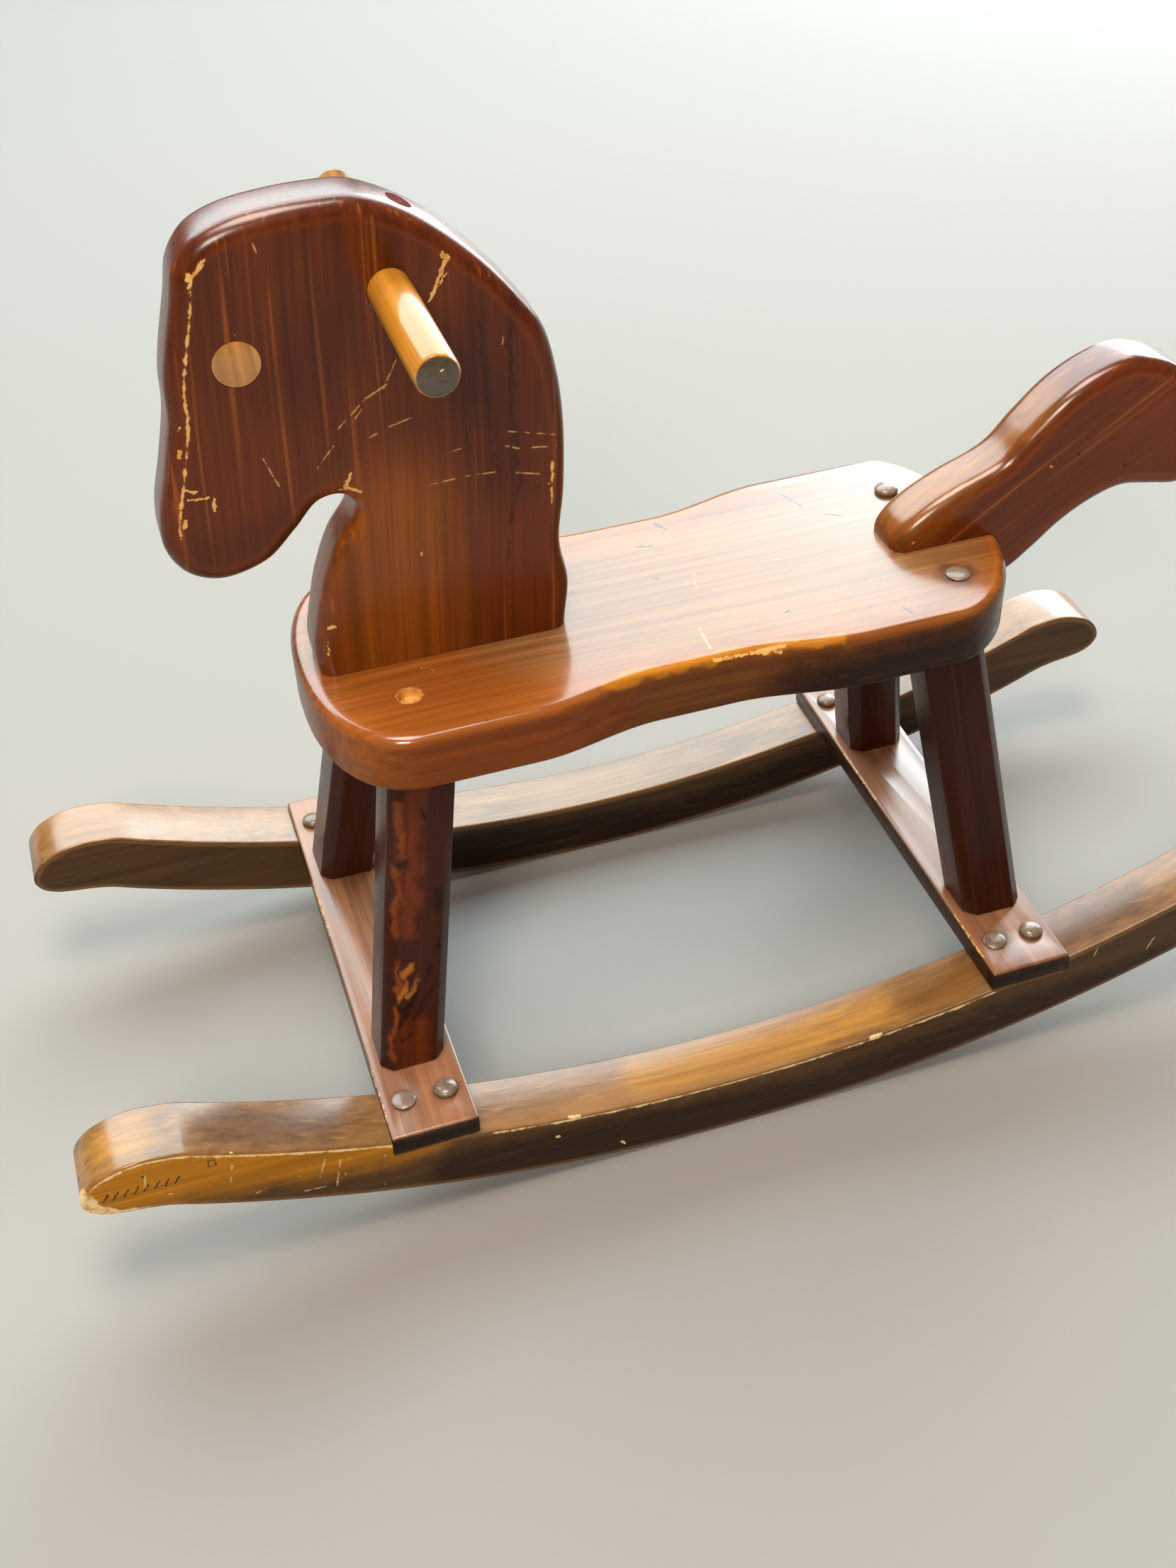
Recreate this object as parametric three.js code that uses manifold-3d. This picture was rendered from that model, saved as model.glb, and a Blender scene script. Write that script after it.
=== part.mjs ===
// A child's wooden rocking horse: a waisted seat with a head board and a tail board standing on it,
// four splayed legs on two crossbars, and two arched rockers with the crossbars let into them.
// Millimetres, +Z up. The horse faces -X and its left side is -Y. The origin is on the floor under
// the middle of the rockers.
import * as THREE from "three";
import { mergeVertices } from "three/addons/utils/BufferGeometryUtils.js";
import Module from "manifold-3d";

const wasm = await Module();
wasm.setup();

// Clearances
const touching = 0.3; // between two faces that bear on each other
const boreAir = 0.3; // round a peg or plug in its bore

// Rockers: an arc with a flattened nose at each end
const rockerRadius = 950; // of the underside
const rockerDepth = 45;
const rockerWidth = 42;
const overallWidth = 331; // over the outer faces of both rockers
const arcHalfLength = 350; // the arc ends here and the nose begins
const noseLength = 64.5;
const rockerEase = 1.5;

// Crossbars
const barSpacing = 406; // between centre lines
const barWidth = 55;
const barThickness = 15.7;
const barEase = 1.2;

// Legs, splayed by the same amount both ways
const legSection = 41;
const legChamfer = 7;
const footSpread = 185; // between the centres of a pair of feet
const legLean = 33.5; // how far a leg's top stands in from its foot

// Seat
const seatHeight = 320; // of the top face above the floor
const seatThickness = 38;
const seatFront = -224;
const seatRear = 225.5;
const seatFrontHalf = 92.5;
const seatWaistHalf = 80.3;
const seatRearHalf = { left: 91, right: 95 }; // it was cut by hand, fuller on the right
const frontRounding = 58; // length of the rounded front end
const rearRounding = { left: 62, right: 42 };
const frontFullness = 2.3; // 2 is an ellipse, more is squarer
const rearFullness = 1.9;
const seatTopRound = 10;
const seatUnderRound = 3.5;

// Head and tail boards
const boardThickness = 38;
const boardRound = 7.5;
const headHeight = 285; // above the seat
const neckSetback = 11; // from the seat's front end to the foot of the neck
const tailHeight = 104; // above the seat
const tailFoot = 73; // how far the tail's foot reaches in over the seat

// Dowels
const handleDiameter = 23.4;
const handleLength = 234;
const handleChamfer = 2;
const eyeDiameter = 25.4;

// Plugs over the screws
const plugDiameter = 13.6; // of the shank
const plugDepth = 6;
const buttonDiameter = 15.4;
const buttonHeight = 4.8;
const wornHeight = 2.2; // of the buttons worn flat
const buttonInset = 27.5; // from a crossbar's end
const buttonSpread = 27; // between the two buttons at a crossbar's end
const seatButtonSpread = 103; // across the seat
const seatButtonFromEnd = { front: 56, rear: 46 };
const manePlugTilt = 19.5; // degrees back from upright
const manePlugWall = 14; // wood between the handle's bore and the plug's

// Worked out
const barX = barSpacing / 2;
const barInnerEdge = barX - barWidth / 2;
const barUnder = rockerTopAt(barInnerEdge) + touching;
const barTop = barUnder + barThickness;
const footZ = barTop + touching;
const legHeight = seatHeight - seatThickness - touching - footZ;
const footY = footSpread / 2;
const rockerY = (overallWidth - rockerWidth) / 2;
const seatLength = seatRear - seatFront;
const boreRadius = plugDiameter / 2 + boreAir;
const handleBoreRadius = handleDiameter / 2 + boreAir;
const eyeBoreRadius = eyeDiameter / 2 + boreAir;

// The head board's edge, from the front foot of the neck round the throat, chin, face and mane to
// its back foot: along and up from the foot, on a pattern of this height.
const headPatternHeight = 285;
const headPattern = [
  [3, -12], [0.5, 4], [0, 17], [3.5, 35], [9.5, 58], [20, 83], [32, 100], [34, 109],
  [27.5, 116], [15, 115], [0, 100], [-18, 84], [-45, 78], [-62, 85.5], [-71, 101],
  [-71, 120], [-63.5, 149], [-57, 177], [-55, 200], [-45, 240], [-40.5, 258], [-30, 271.5],
  [-13, 279], [12, 282.5], [36, 283], [52, 281.8], [66, 276.5], [89, 262.5], [115, 238.5],
  [136, 212], [147, 194], [153.5, 166], [156, 135], [154.5, 93], [150.5, 58], [154.5, 30],
  [151.5, 4], [150, -12],
];
const handlePlace = [65, 232];
const eyePlace = [-17.5, 206];

// The tail board's edge, from its foot on the seat over the crest to the tip and back underneath
// to the hook behind the seat.
const tailPatternHeight = 104;
const tailPattern = [
  [1, -10], [0, 4], [6, 14.5], [19, 25], [40, 36], [63, 45], [73, 51], [86.5, 66],
  [109, 87], [131, 99], [151, 104], [171, 100], [189, 90.5], [205, 75.5], [219, 57],
  [226, 38], [224, 20], [213, 9], [198, 6], [181, 9], [158, 12.5], [138, 6.5],
  [119, -4.5], [101, -20], [84, -33], [70, -37],
];

// A rocker's nose, from the end of the lower arc round the tip to the end of the upper arc, in
// shares of the nose's length and of the rocker's depth.
const nosePattern = [
  [0.22, 0.13], [0.42, 0.2], [0.62, 0.24], [0.81, 0.3], [0.94, 0.41], [1, 0.58],
  [0.96, 0.78], [0.84, 0.97], [0.65, 1.1], [0.43, 1.16], [0.22, 1.14],
];

// Materials
const paint = (color, roughness) =>
  new THREE.MeshStandardMaterial({ color, roughness, metalness: 0 });
const sideWood = paint(0x6e2c12, 0.35);
const seatWood = paint(0xa8561f, 0.35);
const legWood = paint(0x5b2213, 0.35);
const barWood = paint(0x7a3a20, 0.35);
const rockerWood = paint(0x7a4a1c, 0.4);
const handleWood = paint(0xd8963a, 0.3);
const eyeWood = paint(0xb5782a, 0.35);
const plugWood = paint(0x8a7560, 0.45);

// Shapes

function circleDrop(radius, x) {
  return radius - Math.sqrt(radius * radius - x * x);
}

// Height of a rocker's upper edge above the floor, within its arc.
function rockerTopAt(x) {
  return rockerDepth + circleDrop(rockerRadius - rockerDepth, x);
}

const smooth = (t) => t * t * (3 - 2 * t);

function scaled(pattern, scale) {
  return pattern.map(([x, y]) => new THREE.Vector2(x * scale, y * scale));
}

// A smooth line through the points, with this many steps between two of them.
function smoothLine(points, steps) {
  const through = points.map((p) => new THREE.Vector3(p.x, p.y, 0));
  return new THREE.CatmullRomCurve3(through, false, "centripetal")
    .getPoints(steps * (points.length - 1))
    .map((p) => new THREE.Vector2(p.x, p.y));
}

// The closed outline moved inwards; it runs counterclockwise.
function inset(outline, distance) {
  return outline.map((p, i) => {
    const before = outline.at(i - 1);
    const after = outline[(i + 1) % outline.length];
    const a = new THREE.Vector2(p.y - before.y, before.x - p.x).normalize();
    const b = new THREE.Vector2(after.y - p.y, p.x - after.x).normalize();
    return p.clone().addScaledVector(a.clone().add(b), -distance / (1 + a.dot(b)));
  });
}

// How far in and how high each ring of a rounded edge lies, from the flat face to the side.
function roundedEdge(radius, steps) {
  if (radius === 0) return [[0, 0]];
  return Array.from({ length: steps + 1 }, (_, k) => {
    const turn = ((k / steps) * Math.PI) / 2;
    return [radius * (1 - Math.sin(turn)), radius * (1 - Math.cos(turn))];
  });
}

// The triangles that fill a counterclockwise outline, cut off it one by one across the shortest
// gap. They use every point, the ones on a straight stretch too, so that they meet the walls.
function filled(outline) {
  const area = (p, q, r) => (q.x - p.x) * (r.y - p.y) - (q.y - p.y) * (r.x - p.x);
  const covers = (p, q, r, s) => area(p, q, s) >= 0 && area(q, r, s) >= 0 && area(r, p, s) >= 0;
  const left = outline.map((_, i) => i);
  const faces = [];
  while (left.length > 3) {
    let ear = 0;
    let gap = Infinity;
    left.forEach((middle, k) => {
      const before = left.at(k - 1);
      const after = left[(k + 1) % left.length];
      const [p, q, r] = [before, middle, after].map((i) => outline[i]);
      const across = p.distanceTo(r);
      if (across >= gap || area(p, q, r) <= 1e-9) return;
      const others = left.filter((i) => i !== before && i !== middle && i !== after);
      if (others.some((i) => covers(p, q, r, outline[i]))) return;
      ear = k;
      gap = across;
    });
    faces.push([left.at(ear - 1), left[ear], left[(ear + 1) % left.length]]);
    left.splice(ear, 1);
  }
  return [...faces, left];
}

// A board of this outline lying on z = 0, with rounded lower and upper edges.
function board(outline, thickness, lowRound = 0, highRound = 0, steps = 3) {
  const levels = [
    ...roundedEdge(lowRound, steps),
    ...roundedEdge(highRound, steps).map(([inwards, up]) => [inwards, thickness - up]).reverse(),
  ];
  const count = outline.length;
  const rings = levels.map(([inwards]) => inset(outline, inwards));
  const corners = rings.flatMap((ring, k) => ring.flatMap((p) => [p.x, p.y, levels[k][1]]));
  const faces = filled(rings[0]).map(([a, b, c]) => [a, c, b]);
  for (let k = 0; k + 1 < rings.length; k++) {
    for (let i = 0; i < count; i++) {
      const low = k * count;
      const next = (i + 1) % count;
      faces.push([low + i, low + next, low + count + next]);
      faces.push([low + i, low + count + next, low + count + i]);
    }
  }
  const last = (rings.length - 1) * count;
  faces.push(...filled(rings.at(-1)).map((face) => face.map((v) => v + last)));
  return solidOf(new Float32Array(corners), new Uint32Array(faces.flat()));
}

function solidOf(vertProperties, triVerts) {
  return new wasm.Manifold(new wasm.Mesh({ numProp: 3, vertProperties, triVerts }));
}

// The same board stood on edge, its thickness centred on y = 0 and its outline in x and z.
function standingBoard(outline, thickness, round, steps) {
  return board(outline, thickness, round, round, steps)
    .rotate([90, 0, 0])
    .translate([0, thickness / 2, 0]);
}

// A cylinder standing on z = 0, as a tool that cuts bores and plugs.
function cylinder(radius, length, sides = 28) {
  const geometry = new THREE.CylinderGeometry(radius, radius, length, sides).rotateX(Math.PI / 2);
  geometry.translate(0, 0, length / 2).deleteAttribute("normal").deleteAttribute("uv");
  const merged = mergeVertices(geometry);
  return solidOf(merged.attributes.position.array, new Uint32Array(merged.index.array));
}

// A cylinder across the horse through x and z.
function acrossAt(x, z, radius, length) {
  return cylinder(radius, length).translate([0, 0, -length / 2]).rotate([90, 0, 0]).translate([x, 0, z]);
}

function rectangle(length, width) {
  const x = length / 2;
  const y = width / 2;
  return [[-x, -y], [x, -y], [x, y], [-x, y]].map(([u, v]) => new THREE.Vector2(u, v));
}

function chamferedSquare(side, chamfer) {
  const far = side / 2;
  const near = far - chamfer;
  return [
    [far, -near], [far, near], [near, far], [-near, far],
    [-far, near], [-far, -near], [-near, -far], [near, -far],
  ].map(([x, y]) => new THREE.Vector2(x, y));
}

function geometryOf(solid) {
  const { vertProperties, triVerts } = solid.getMesh();
  const geometry = new THREE.BufferGeometry();
  geometry.setAttribute("position", new THREE.BufferAttribute(vertProperties, 3));
  geometry.setIndex(new THREE.BufferAttribute(triVerts, 1));
  geometry.computeVertexNormals();
  return geometry;
}

function piece(name, shape, material, x = 0, y = 0, z = 0) {
  const geometry = shape.isBufferGeometry ? shape : geometryOf(shape);
  const mesh = new THREE.Mesh(geometry, material);
  mesh.name = name;
  mesh.position.set(x, y, z);
  return mesh;
}

// Seat: its top face lies on z = 0

// A rounded corner, from the middle of the seat's end to its side.
function seatCorner(half, rounding, fullness) {
  return Array.from({ length: 9 }, (_, k) => {
    const turn = ((k / 8) * Math.PI) / 2;
    const along = rounding * (1 - Math.cos(turn) ** (2 / fullness));
    return [along, half * Math.sin(turn) ** (2 / fullness)];
  });
}

// One side from the front's middle to the rear's; the waist takes these shares of the length.
function seatSide(side) {
  const blend = (start, end, from, to) =>
    Array.from({ length: 7 }, (_, k) => {
      const x = seatFront + seatLength * (start + ((end - start) * k) / 6);
      return [x, from + (to - from) * smooth(k / 6)];
    });
  const front = seatCorner(seatFrontHalf, frontRounding, frontFullness);
  const rear = seatCorner(seatRearHalf[side], rearRounding[side], rearFullness).reverse();
  return [
    ...front.map(([along, y]) => [seatFront + along, y]),
    ...blend(0.27, 0.44, seatFrontHalf, seatWaistHalf),
    ...blend(0.55, 0.73, seatWaistHalf, seatRearHalf[side]),
    ...rear.map(([along, y]) => [seatRear - along, y]),
  ];
}

function seatEdge() {
  const left = seatSide("left").map(([x, y]) => new THREE.Vector2(x, -y));
  const right = seatSide("right").map(([x, y]) => new THREE.Vector2(x, y));
  return [...left, ...right.slice(1, -1).reverse()];
}

function seatBoard(growth) {
  return board(
    inset(seatEdge(), -growth),
    seatThickness + 2 * growth,
    seatUnderRound,
    seatTopRound + growth,
  ).translate([0, 0, -seatThickness - growth]);
}

const seatButtonX = {
  front: seatFront + seatButtonFromEnd.front,
  rear: seatRear - seatButtonFromEnd.rear,
};

function boredSeat() {
  const bore = cylinder(boreRadius, 2 * plugDepth, 24);
  const places = Object.values(seatButtonX).flatMap((x) => [
    [x, -seatButtonSpread / 2, -plugDepth],
    [x, seatButtonSpread / 2, -plugDepth],
  ]);
  return places.reduce((seat, place) => seat.subtract(bore.translate(place)), seatBoard(0));
}

// Head: the foot of the neck is at x = 0 and the seat's top face at z = 0

const headScale = headHeight / headPatternHeight;
const [handleX, handleZ] = handlePlace.map((v) => v * headScale);
const [eyeX, eyeZ] = eyePlace.map((v) => v * headScale);

function headBoard() {
  // The pattern runs clockwise seen from the horse's left, so it is turned round.
  const edge = smoothLine(scaled(headPattern, headScale), 3).reverse();
  return standingBoard(edge, boardThickness, boardRound).trimByPlane([0, 0, 1], touching);
}

// A round bar through the mane, pointing at the handle's axis, from this far above it.
function maneBar(radius, start) {
  return cylinder(radius, headHeight)
    .translate([0, 0, start])
    .rotate([0, manePlugTilt, 0])
    .translate([handleX, 0, handleZ]);
}

const manePlugFloor = handleBoreRadius + manePlugWall;

function boredHead() {
  const across = 2 * boardThickness;
  return headBoard()
    .subtract(acrossAt(handleX, handleZ, handleBoreRadius, across))
    .subtract(acrossAt(eyeX, eyeZ, eyeBoreRadius, across))
    .subtract(maneBar(boreRadius, manePlugFloor));
}

function manePlug() {
  return headBoard().intersect(maneBar(plugDiameter / 2, manePlugFloor + touching));
}

// Tail: the front of its foot is at x = 0 and the seat's top face at z = 0

function tailBoard(footX) {
  const edge = smoothLine(scaled(tailPattern, tailHeight / tailPatternHeight), 3).reverse();
  const seatRoom = seatBoard(touching).translate([-footX, 0, 0]);
  return standingBoard(edge, boardThickness, boardRound).subtract(seatRoom);
}

// Dowels lie along y

function turned(profile, sides) {
  return new THREE.LatheGeometry(profile.map(([x, y]) => new THREE.Vector2(x, y)), sides);
}

function dowel(diameter, length, chamfer) {
  const r = diameter / 2;
  const end = length / 2;
  const upper = chamfer ? [[r, end - chamfer], [r - chamfer, end]] : [[r, end]];
  const lower = upper.map(([x, y]) => [x, -y]).reverse();
  return turned([[0, -end], ...lower, ...upper, [0, end]], 28);
}

// A button with its shank in a bore, standing on z = 0
function button(height) {
  const shank = plugDiameter / 2;
  const rim = buttonDiameter / 2;
  const under = touching;
  const wall = under + 0.25 * height;
  const dome = [0, 0.33, 0.67, 1].map((t) => {
    const turn = (t * Math.PI) / 2;
    return [rim * Math.cos(turn), wall + (height - wall) * Math.sin(turn)];
  });
  dome[3][0] = 0;
  const foot = touching - plugDepth;
  return turned([[0, foot], [shank, foot], [shank, under], [rim, under], ...dome], 16).rotateX(Math.PI / 2);
}

// Undercarriage

function rockerEdge() {
  const bottomArc = [];
  const topArc = [];
  const steps = 21; // odd, so that the middle facet lies flat on the floor
  const facet = (2 * arcHalfLength) / steps;
  const floor = circleDrop(rockerRadius, facet / 2);
  for (let k = 0; k <= steps; k++) {
    const x = -arcHalfLength + facet * k;
    bottomArc.push(new THREE.Vector2(x, circleDrop(rockerRadius, x) - floor));
    topArc.push(new THREE.Vector2(-x, rockerTopAt(x)));
  }
  const low = circleDrop(rockerRadius, arcHalfLength);
  const at = (x, z) => new THREE.Vector2(arcHalfLength + x * noseLength, low + z * rockerDepth);
  const ends = [bottomArc.at(-1), ...nosePattern.map(([x, z]) => at(x, z)), topArc[0]];
  const nose = smoothLine(ends, 2).slice(1, -1);
  const mirrored = nose.map((p) => new THREE.Vector2(-p.x, p.y)).reverse();
  return [...bottomArc, ...nose, ...topArc, ...mirrored];
}

function rocker() {
  const notch = board(rectangle(barWidth + 2 * touching, 2 * rockerWidth), rockerDepth);
  const floor = barUnder - touching;
  return [-barX, barX].reduce(
    (solid, x) => solid.subtract(notch.translate([x, 0, floor])),
    standingBoard(rockerEdge(), rockerWidth, rockerEase, 1),
  );
}

function crossbar() {
  const bore = cylinder(boreRadius, 2 * plugDepth, 24);
  let bar = board(rectangle(barWidth, overallWidth), barThickness, barEase, barEase, 1);
  for (const [x, y] of barButtonPlaces()) {
    bar = bar.subtract(bore.translate([x, y, barThickness - plugDepth]));
  }
  return bar;
}

function barButtonPlaces() {
  const x = buttonSpread / 2;
  const y = overallWidth / 2 - buttonInset;
  return [[-x, -y], [x, -y], [-x, y], [x, y]];
}

// A leg with its foot's centre at the origin and its top this far over, its ends cut level.
function leg(overX, overY) {
  const along = new THREE.Vector3(overX, overY, legHeight);
  const up = new THREE.Vector3(0, 0, 1);
  const turn = new THREE.Quaternion().setFromUnitVectors(up, along.clone().normalize());
  const spare = legSection;
  return board(chamferedSquare(legSection, legChamfer), along.length() + 2 * spare)
    .translate([0, 0, -spare])
    .transform(new THREE.Matrix4().makeRotationFromQuaternion(turn).elements)
    .trimByPlane([0, 0, 1], 0)
    .trimByPlane([0, 0, -1], -legHeight);
}

// Assembly

const ends = { front: -1, rear: 1 };
const sides = { left: -1, right: 1 };
const horse = new THREE.Group();

const body = new THREE.Group();
body.position.z = seatHeight;
body.add(piece("seat", boredSeat(), seatWood));
for (const [end, side] of [["front", "right"], ["rear", "left"], ["rear", "right"]]) {
  const y = (sides[side] * seatButtonSpread) / 2;
  const height = side === "left" ? wornHeight : buttonHeight;
  body.add(piece(`seat_button_${end}_${side}`, button(height), plugWood, seatButtonX[end], y, 0));
}
horse.add(body);

const head = new THREE.Group();
head.position.x = seatFront + neckSetback;
head.add(piece("head_and_neck", boredHead(), sideWood));
const handle = dowel(handleDiameter, handleLength, handleChamfer);
head.add(piece("handle_dowel", handle, handleWood, handleX, 0, handleZ));
head.add(piece("eye_dowel", dowel(eyeDiameter, boardThickness, 0), eyeWood, eyeX, 0, eyeZ));
head.add(piece("mane_plug", manePlug(), legWood));
body.add(head);

const tailX = seatRear - tailFoot;
body.add(piece("tail", tailBoard(tailX), sideWood, tailX, 0, 0));

for (const [side, s] of Object.entries(sides)) {
  horse.add(piece(`rocker_${side}`, rocker(), rockerWood, 0, s * rockerY, 0));
}

for (const [end, e] of Object.entries(ends)) {
  const carriage = new THREE.Group();
  carriage.position.x = e * barX;
  carriage.add(piece(`crossbar_${end}`, crossbar(), barWood, 0, 0, barUnder));
  for (const [side, s] of Object.entries(sides)) {
    const solid = leg(-e * legLean, -s * legLean);
    carriage.add(piece(`leg_${end}_${side}`, solid, legWood, 0, s * footY, footZ));
  }
  for (const [x, y] of barButtonPlaces()) {
    const worn = y < 0 && x < 0;
    const name = `bar_button_${end}_${y < 0 ? "left" : "right"}_${x < 0 ? "fore" : "aft"}`;
    carriage.add(piece(name, button(worn ? wornHeight : buttonHeight), plugWood, x, y, barTop));
  }
  horse.add(carriage);
}

export default horse;
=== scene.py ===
"""A worn wooden rocking horse: boards, legs, rockers, dowels and plugs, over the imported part."""

import math
from functools import partial

import bmesh
import bpy
from bpy.props import FloatProperty, FloatVectorProperty, IntProperty, PointerProperty
from bpy.types import Operator, Panel, PropertyGroup
from mathutils import Matrix, Vector
from mathutils.bvhtree import BVHTree
from mathutils.interpolate import poly_3d_calc


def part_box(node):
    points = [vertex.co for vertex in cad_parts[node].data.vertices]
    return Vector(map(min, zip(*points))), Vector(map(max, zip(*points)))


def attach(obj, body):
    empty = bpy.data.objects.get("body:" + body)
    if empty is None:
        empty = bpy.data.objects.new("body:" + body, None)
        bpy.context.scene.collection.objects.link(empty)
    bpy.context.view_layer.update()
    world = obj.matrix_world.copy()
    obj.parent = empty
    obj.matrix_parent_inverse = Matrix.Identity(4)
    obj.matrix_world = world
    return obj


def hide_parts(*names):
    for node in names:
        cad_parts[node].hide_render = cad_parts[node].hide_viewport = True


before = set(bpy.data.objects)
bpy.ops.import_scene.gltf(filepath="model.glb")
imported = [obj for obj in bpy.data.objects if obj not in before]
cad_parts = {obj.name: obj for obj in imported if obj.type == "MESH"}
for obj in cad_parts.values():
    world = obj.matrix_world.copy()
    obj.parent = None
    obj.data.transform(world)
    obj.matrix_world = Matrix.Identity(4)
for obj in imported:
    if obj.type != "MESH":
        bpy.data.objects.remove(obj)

bl_info = {
    "name": "Wooden Rocking Horse",
    "version": (1, 0, 0),
    "blender": (4, 5, 0),
    "location": "3D View > Sidebar > Rocking Horse",
    "description": "Makes the boards, plugs, varnish and wear of a child's wooden rocking horse",
    "category": "Add Mesh",
}

MM = 0.001
SEAT_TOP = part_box("seat")[1].z
HEAD_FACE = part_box("head_and_neck")[0].y
ROCKER_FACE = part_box("rocker_left")[0].y
HEAD_FOOT_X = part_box("seat")[0].x + 11 * MM
TAIL_FOOT_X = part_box("seat")[1].x - 73 * MM
# Two points nearer than this are one
SAME_PLACE = 0.02 * MM
# Room round a piece that lies in another
FIT = 0.3 * MM
PLUG_DIAMETER = 13.6 * MM

# The head board's edge, in mm from the front foot of the neck: up the throat, round the chin, up
# the face, over the crown and down the mane.
HEAD_EDGE = [
    (3, -12), (0.5, 4), (0, 17), (3.5, 35), (9.5, 58), (20, 83), (32, 100), (34, 109),
    (27.5, 116), (15, 115), (0, 100), (-18, 84), (-45, 78), (-62, 85.5), (-71, 101),
    (-71, 120), (-63.5, 149), (-57, 177), (-55, 200), (-45, 240), (-40.5, 258), (-30, 271.5),
    (-13, 279), (12, 282.5), (36, 283), (52, 281.8), (66, 276.5), (89, 262.5), (115, 238.5),
    (136, 212), (147, 194), (153.5, 166), (156, 135), (154.5, 93), (150.5, 58), (154.5, 30),
    (151.5, 4), (150, -12),
]

# The tail board's edge, in mm from the front of its foot: over the crest, round the tip and back
# underneath to the hook behind the seat.
TAIL_EDGE = [
    (1, -10), (0, 4), (6, 14.5), (19, 25), (40, 36), (63, 45), (73, 51), (86.5, 66),
    (109, 87), (131, 99), (151, 104), (171, 100), (189, 90.5), (205, 75.5), (219, 57),
    (226, 38), (224, 20), (213, 9), (198, 6), (181, 9), (158, 12.5), (138, 6.5),
    (119, -4.5), (101, -20), (84, -33), (70, -37),
]

# A rocker's nose, from the end of the lower arc round the tip to the end of the upper arc, in
# shares of the nose's length and of the rocker's depth.
ROCKER_NOSE = [
    (0.22, 0.13), (0.42, 0.2), (0.62, 0.24), (0.81, 0.3), (0.94, 0.41), (1, 0.58),
    (0.96, 0.78), (0.84, 0.97), (0.65, 1.1), (0.43, 1.16), (0.22, 1.14),
]


class RockingHorseSizes(PropertyGroup):
    board_rounding: FloatProperty(
        name="Board Rounding", description="Radius of the head and tail boards' edges",
        default=9.5 * MM, min=2 * MM, max=15 * MM, unit="LENGTH")
    seat_rounding: FloatProperty(
        name="Seat Rounding", description="Radius of the seat's upper edge",
        default=6.5 * MM, min=3 * MM, max=15 * MM, unit="LENGTH")
    rocker_rounding: FloatProperty(
        name="Rocker Rounding", description="Radius of the rockers' long edges",
        default=1.8 * MM, min=0.5 * MM, max=8 * MM, unit="LENGTH")
    stick_easing: FloatProperty(
        name="Stick Easing", description="Width that is sanded off the legs' and crossbars' edges",
        default=1 * MM, min=0.3 * MM, max=4 * MM, unit="LENGTH")
    rocker_radius: FloatProperty(
        name="Rocker Radius", description="Radius of the rockers' underside",
        default=0.95, min=0.6, max=1.5, unit="LENGTH")
    rocker_depth: FloatProperty(
        name="Rocker Depth", description="Depth of a rocker between its two arcs",
        default=45 * MM, min=25 * MM, max=70 * MM, unit="LENGTH")
    outline_steps: IntProperty(
        name="Outline Steps", description="Steps between two points of a board's outline",
        default=9, min=2, max=20)


class RockingHorseColours(PropertyGroup):
    board: FloatVectorProperty(
        name="Board Stain", description="Red-brown stain of the head and tail boards",
        subtype="COLOR_GAMMA", size=3, min=0, max=1, default=(0.46, 0.195, 0.038))
    seat: FloatVectorProperty(
        name="Seat Stain", description="Orange-brown stain of the seat",
        subtype="COLOR_GAMMA", size=3, min=0, max=1, default=(0.66, 0.37, 0.13))
    leg: FloatVectorProperty(
        name="Leg Stain", description="Dark red-brown stain of the legs",
        subtype="COLOR_GAMMA", size=3, min=0, max=1, default=(0.33, 0.14, 0.08))
    bar: FloatVectorProperty(
        name="Bar Stain", description="Copper-brown stain of the crossbars",
        subtype="COLOR_GAMMA", size=3, min=0, max=1, default=(0.68, 0.46, 0.32))
    rocker: FloatVectorProperty(
        name="Rocker Stain", description="Brown stain of the rockers",
        subtype="COLOR_GAMMA", size=3, min=0, max=1, default=(0.64, 0.46, 0.28))
    bare: FloatVectorProperty(
        name="Bare Wood", description="Pine where the stain is chipped or worn off",
        subtype="COLOR_GAMMA", size=3, min=0, max=1, default=(0.96, 0.74, 0.42))
    rubbed: FloatVectorProperty(
        name="Rubbed Edge", description="Pale pine where the rockers' edges are rubbed through",
        subtype="COLOR_GAMMA", size=3, min=0, max=1, default=(1.0, 0.88, 0.64))


# Meshes


def smooth_line(points, steps):
    """A centripetal Catmull-Rom line through the points, with this many steps between two."""
    def between(a, b, c, d):
        knots = [0.0]
        for p, q in ((a, b), (b, c), (c, d)):
            knots.append(knots[-1] + max((q - p).length, 1e-9) ** 0.5)
        t0, t1, t2, t3 = knots
        for k in range(steps):
            t = t1 + (t2 - t1) * k / steps
            e = a.lerp(b, (t - t0) / (t1 - t0))
            f = b.lerp(c, (t - t1) / (t2 - t1))
            g = c.lerp(d, (t - t2) / (t3 - t2))
            h, m = e.lerp(f, (t - t0) / (t2 - t0)), f.lerp(g, (t - t1) / (t3 - t1))
            yield h.lerp(m, (t - t1) / (t2 - t1))

    through = [2 * points[0] - points[1], *points, 2 * points[-1] - points[-2]]
    line = []
    for k in range(len(points) - 1):
        line.extend(between(*through[k:k + 4]))
    return [*line, points[-1]]


def counterclockwise(outline):
    area = sum(p.cross(q) for p, q in zip(outline, outline[1:] + outline[:1]))
    return outline if area > 0 else outline[::-1]


def inset(outline, distance):
    """The closed counterclockwise outline moved inwards."""
    moved = []
    for before, p, after in zip(outline[-1:] + outline[:-1], outline, outline[1:] + outline[:1]):
        a = Vector((p.y - before.y, before.x - p.x)).normalized()
        b = Vector((after.y - p.y, p.x - after.x)).normalized()
        moved.append(p - (a + b) * distance / (1 + a.dot(b)))
    return moved


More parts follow.
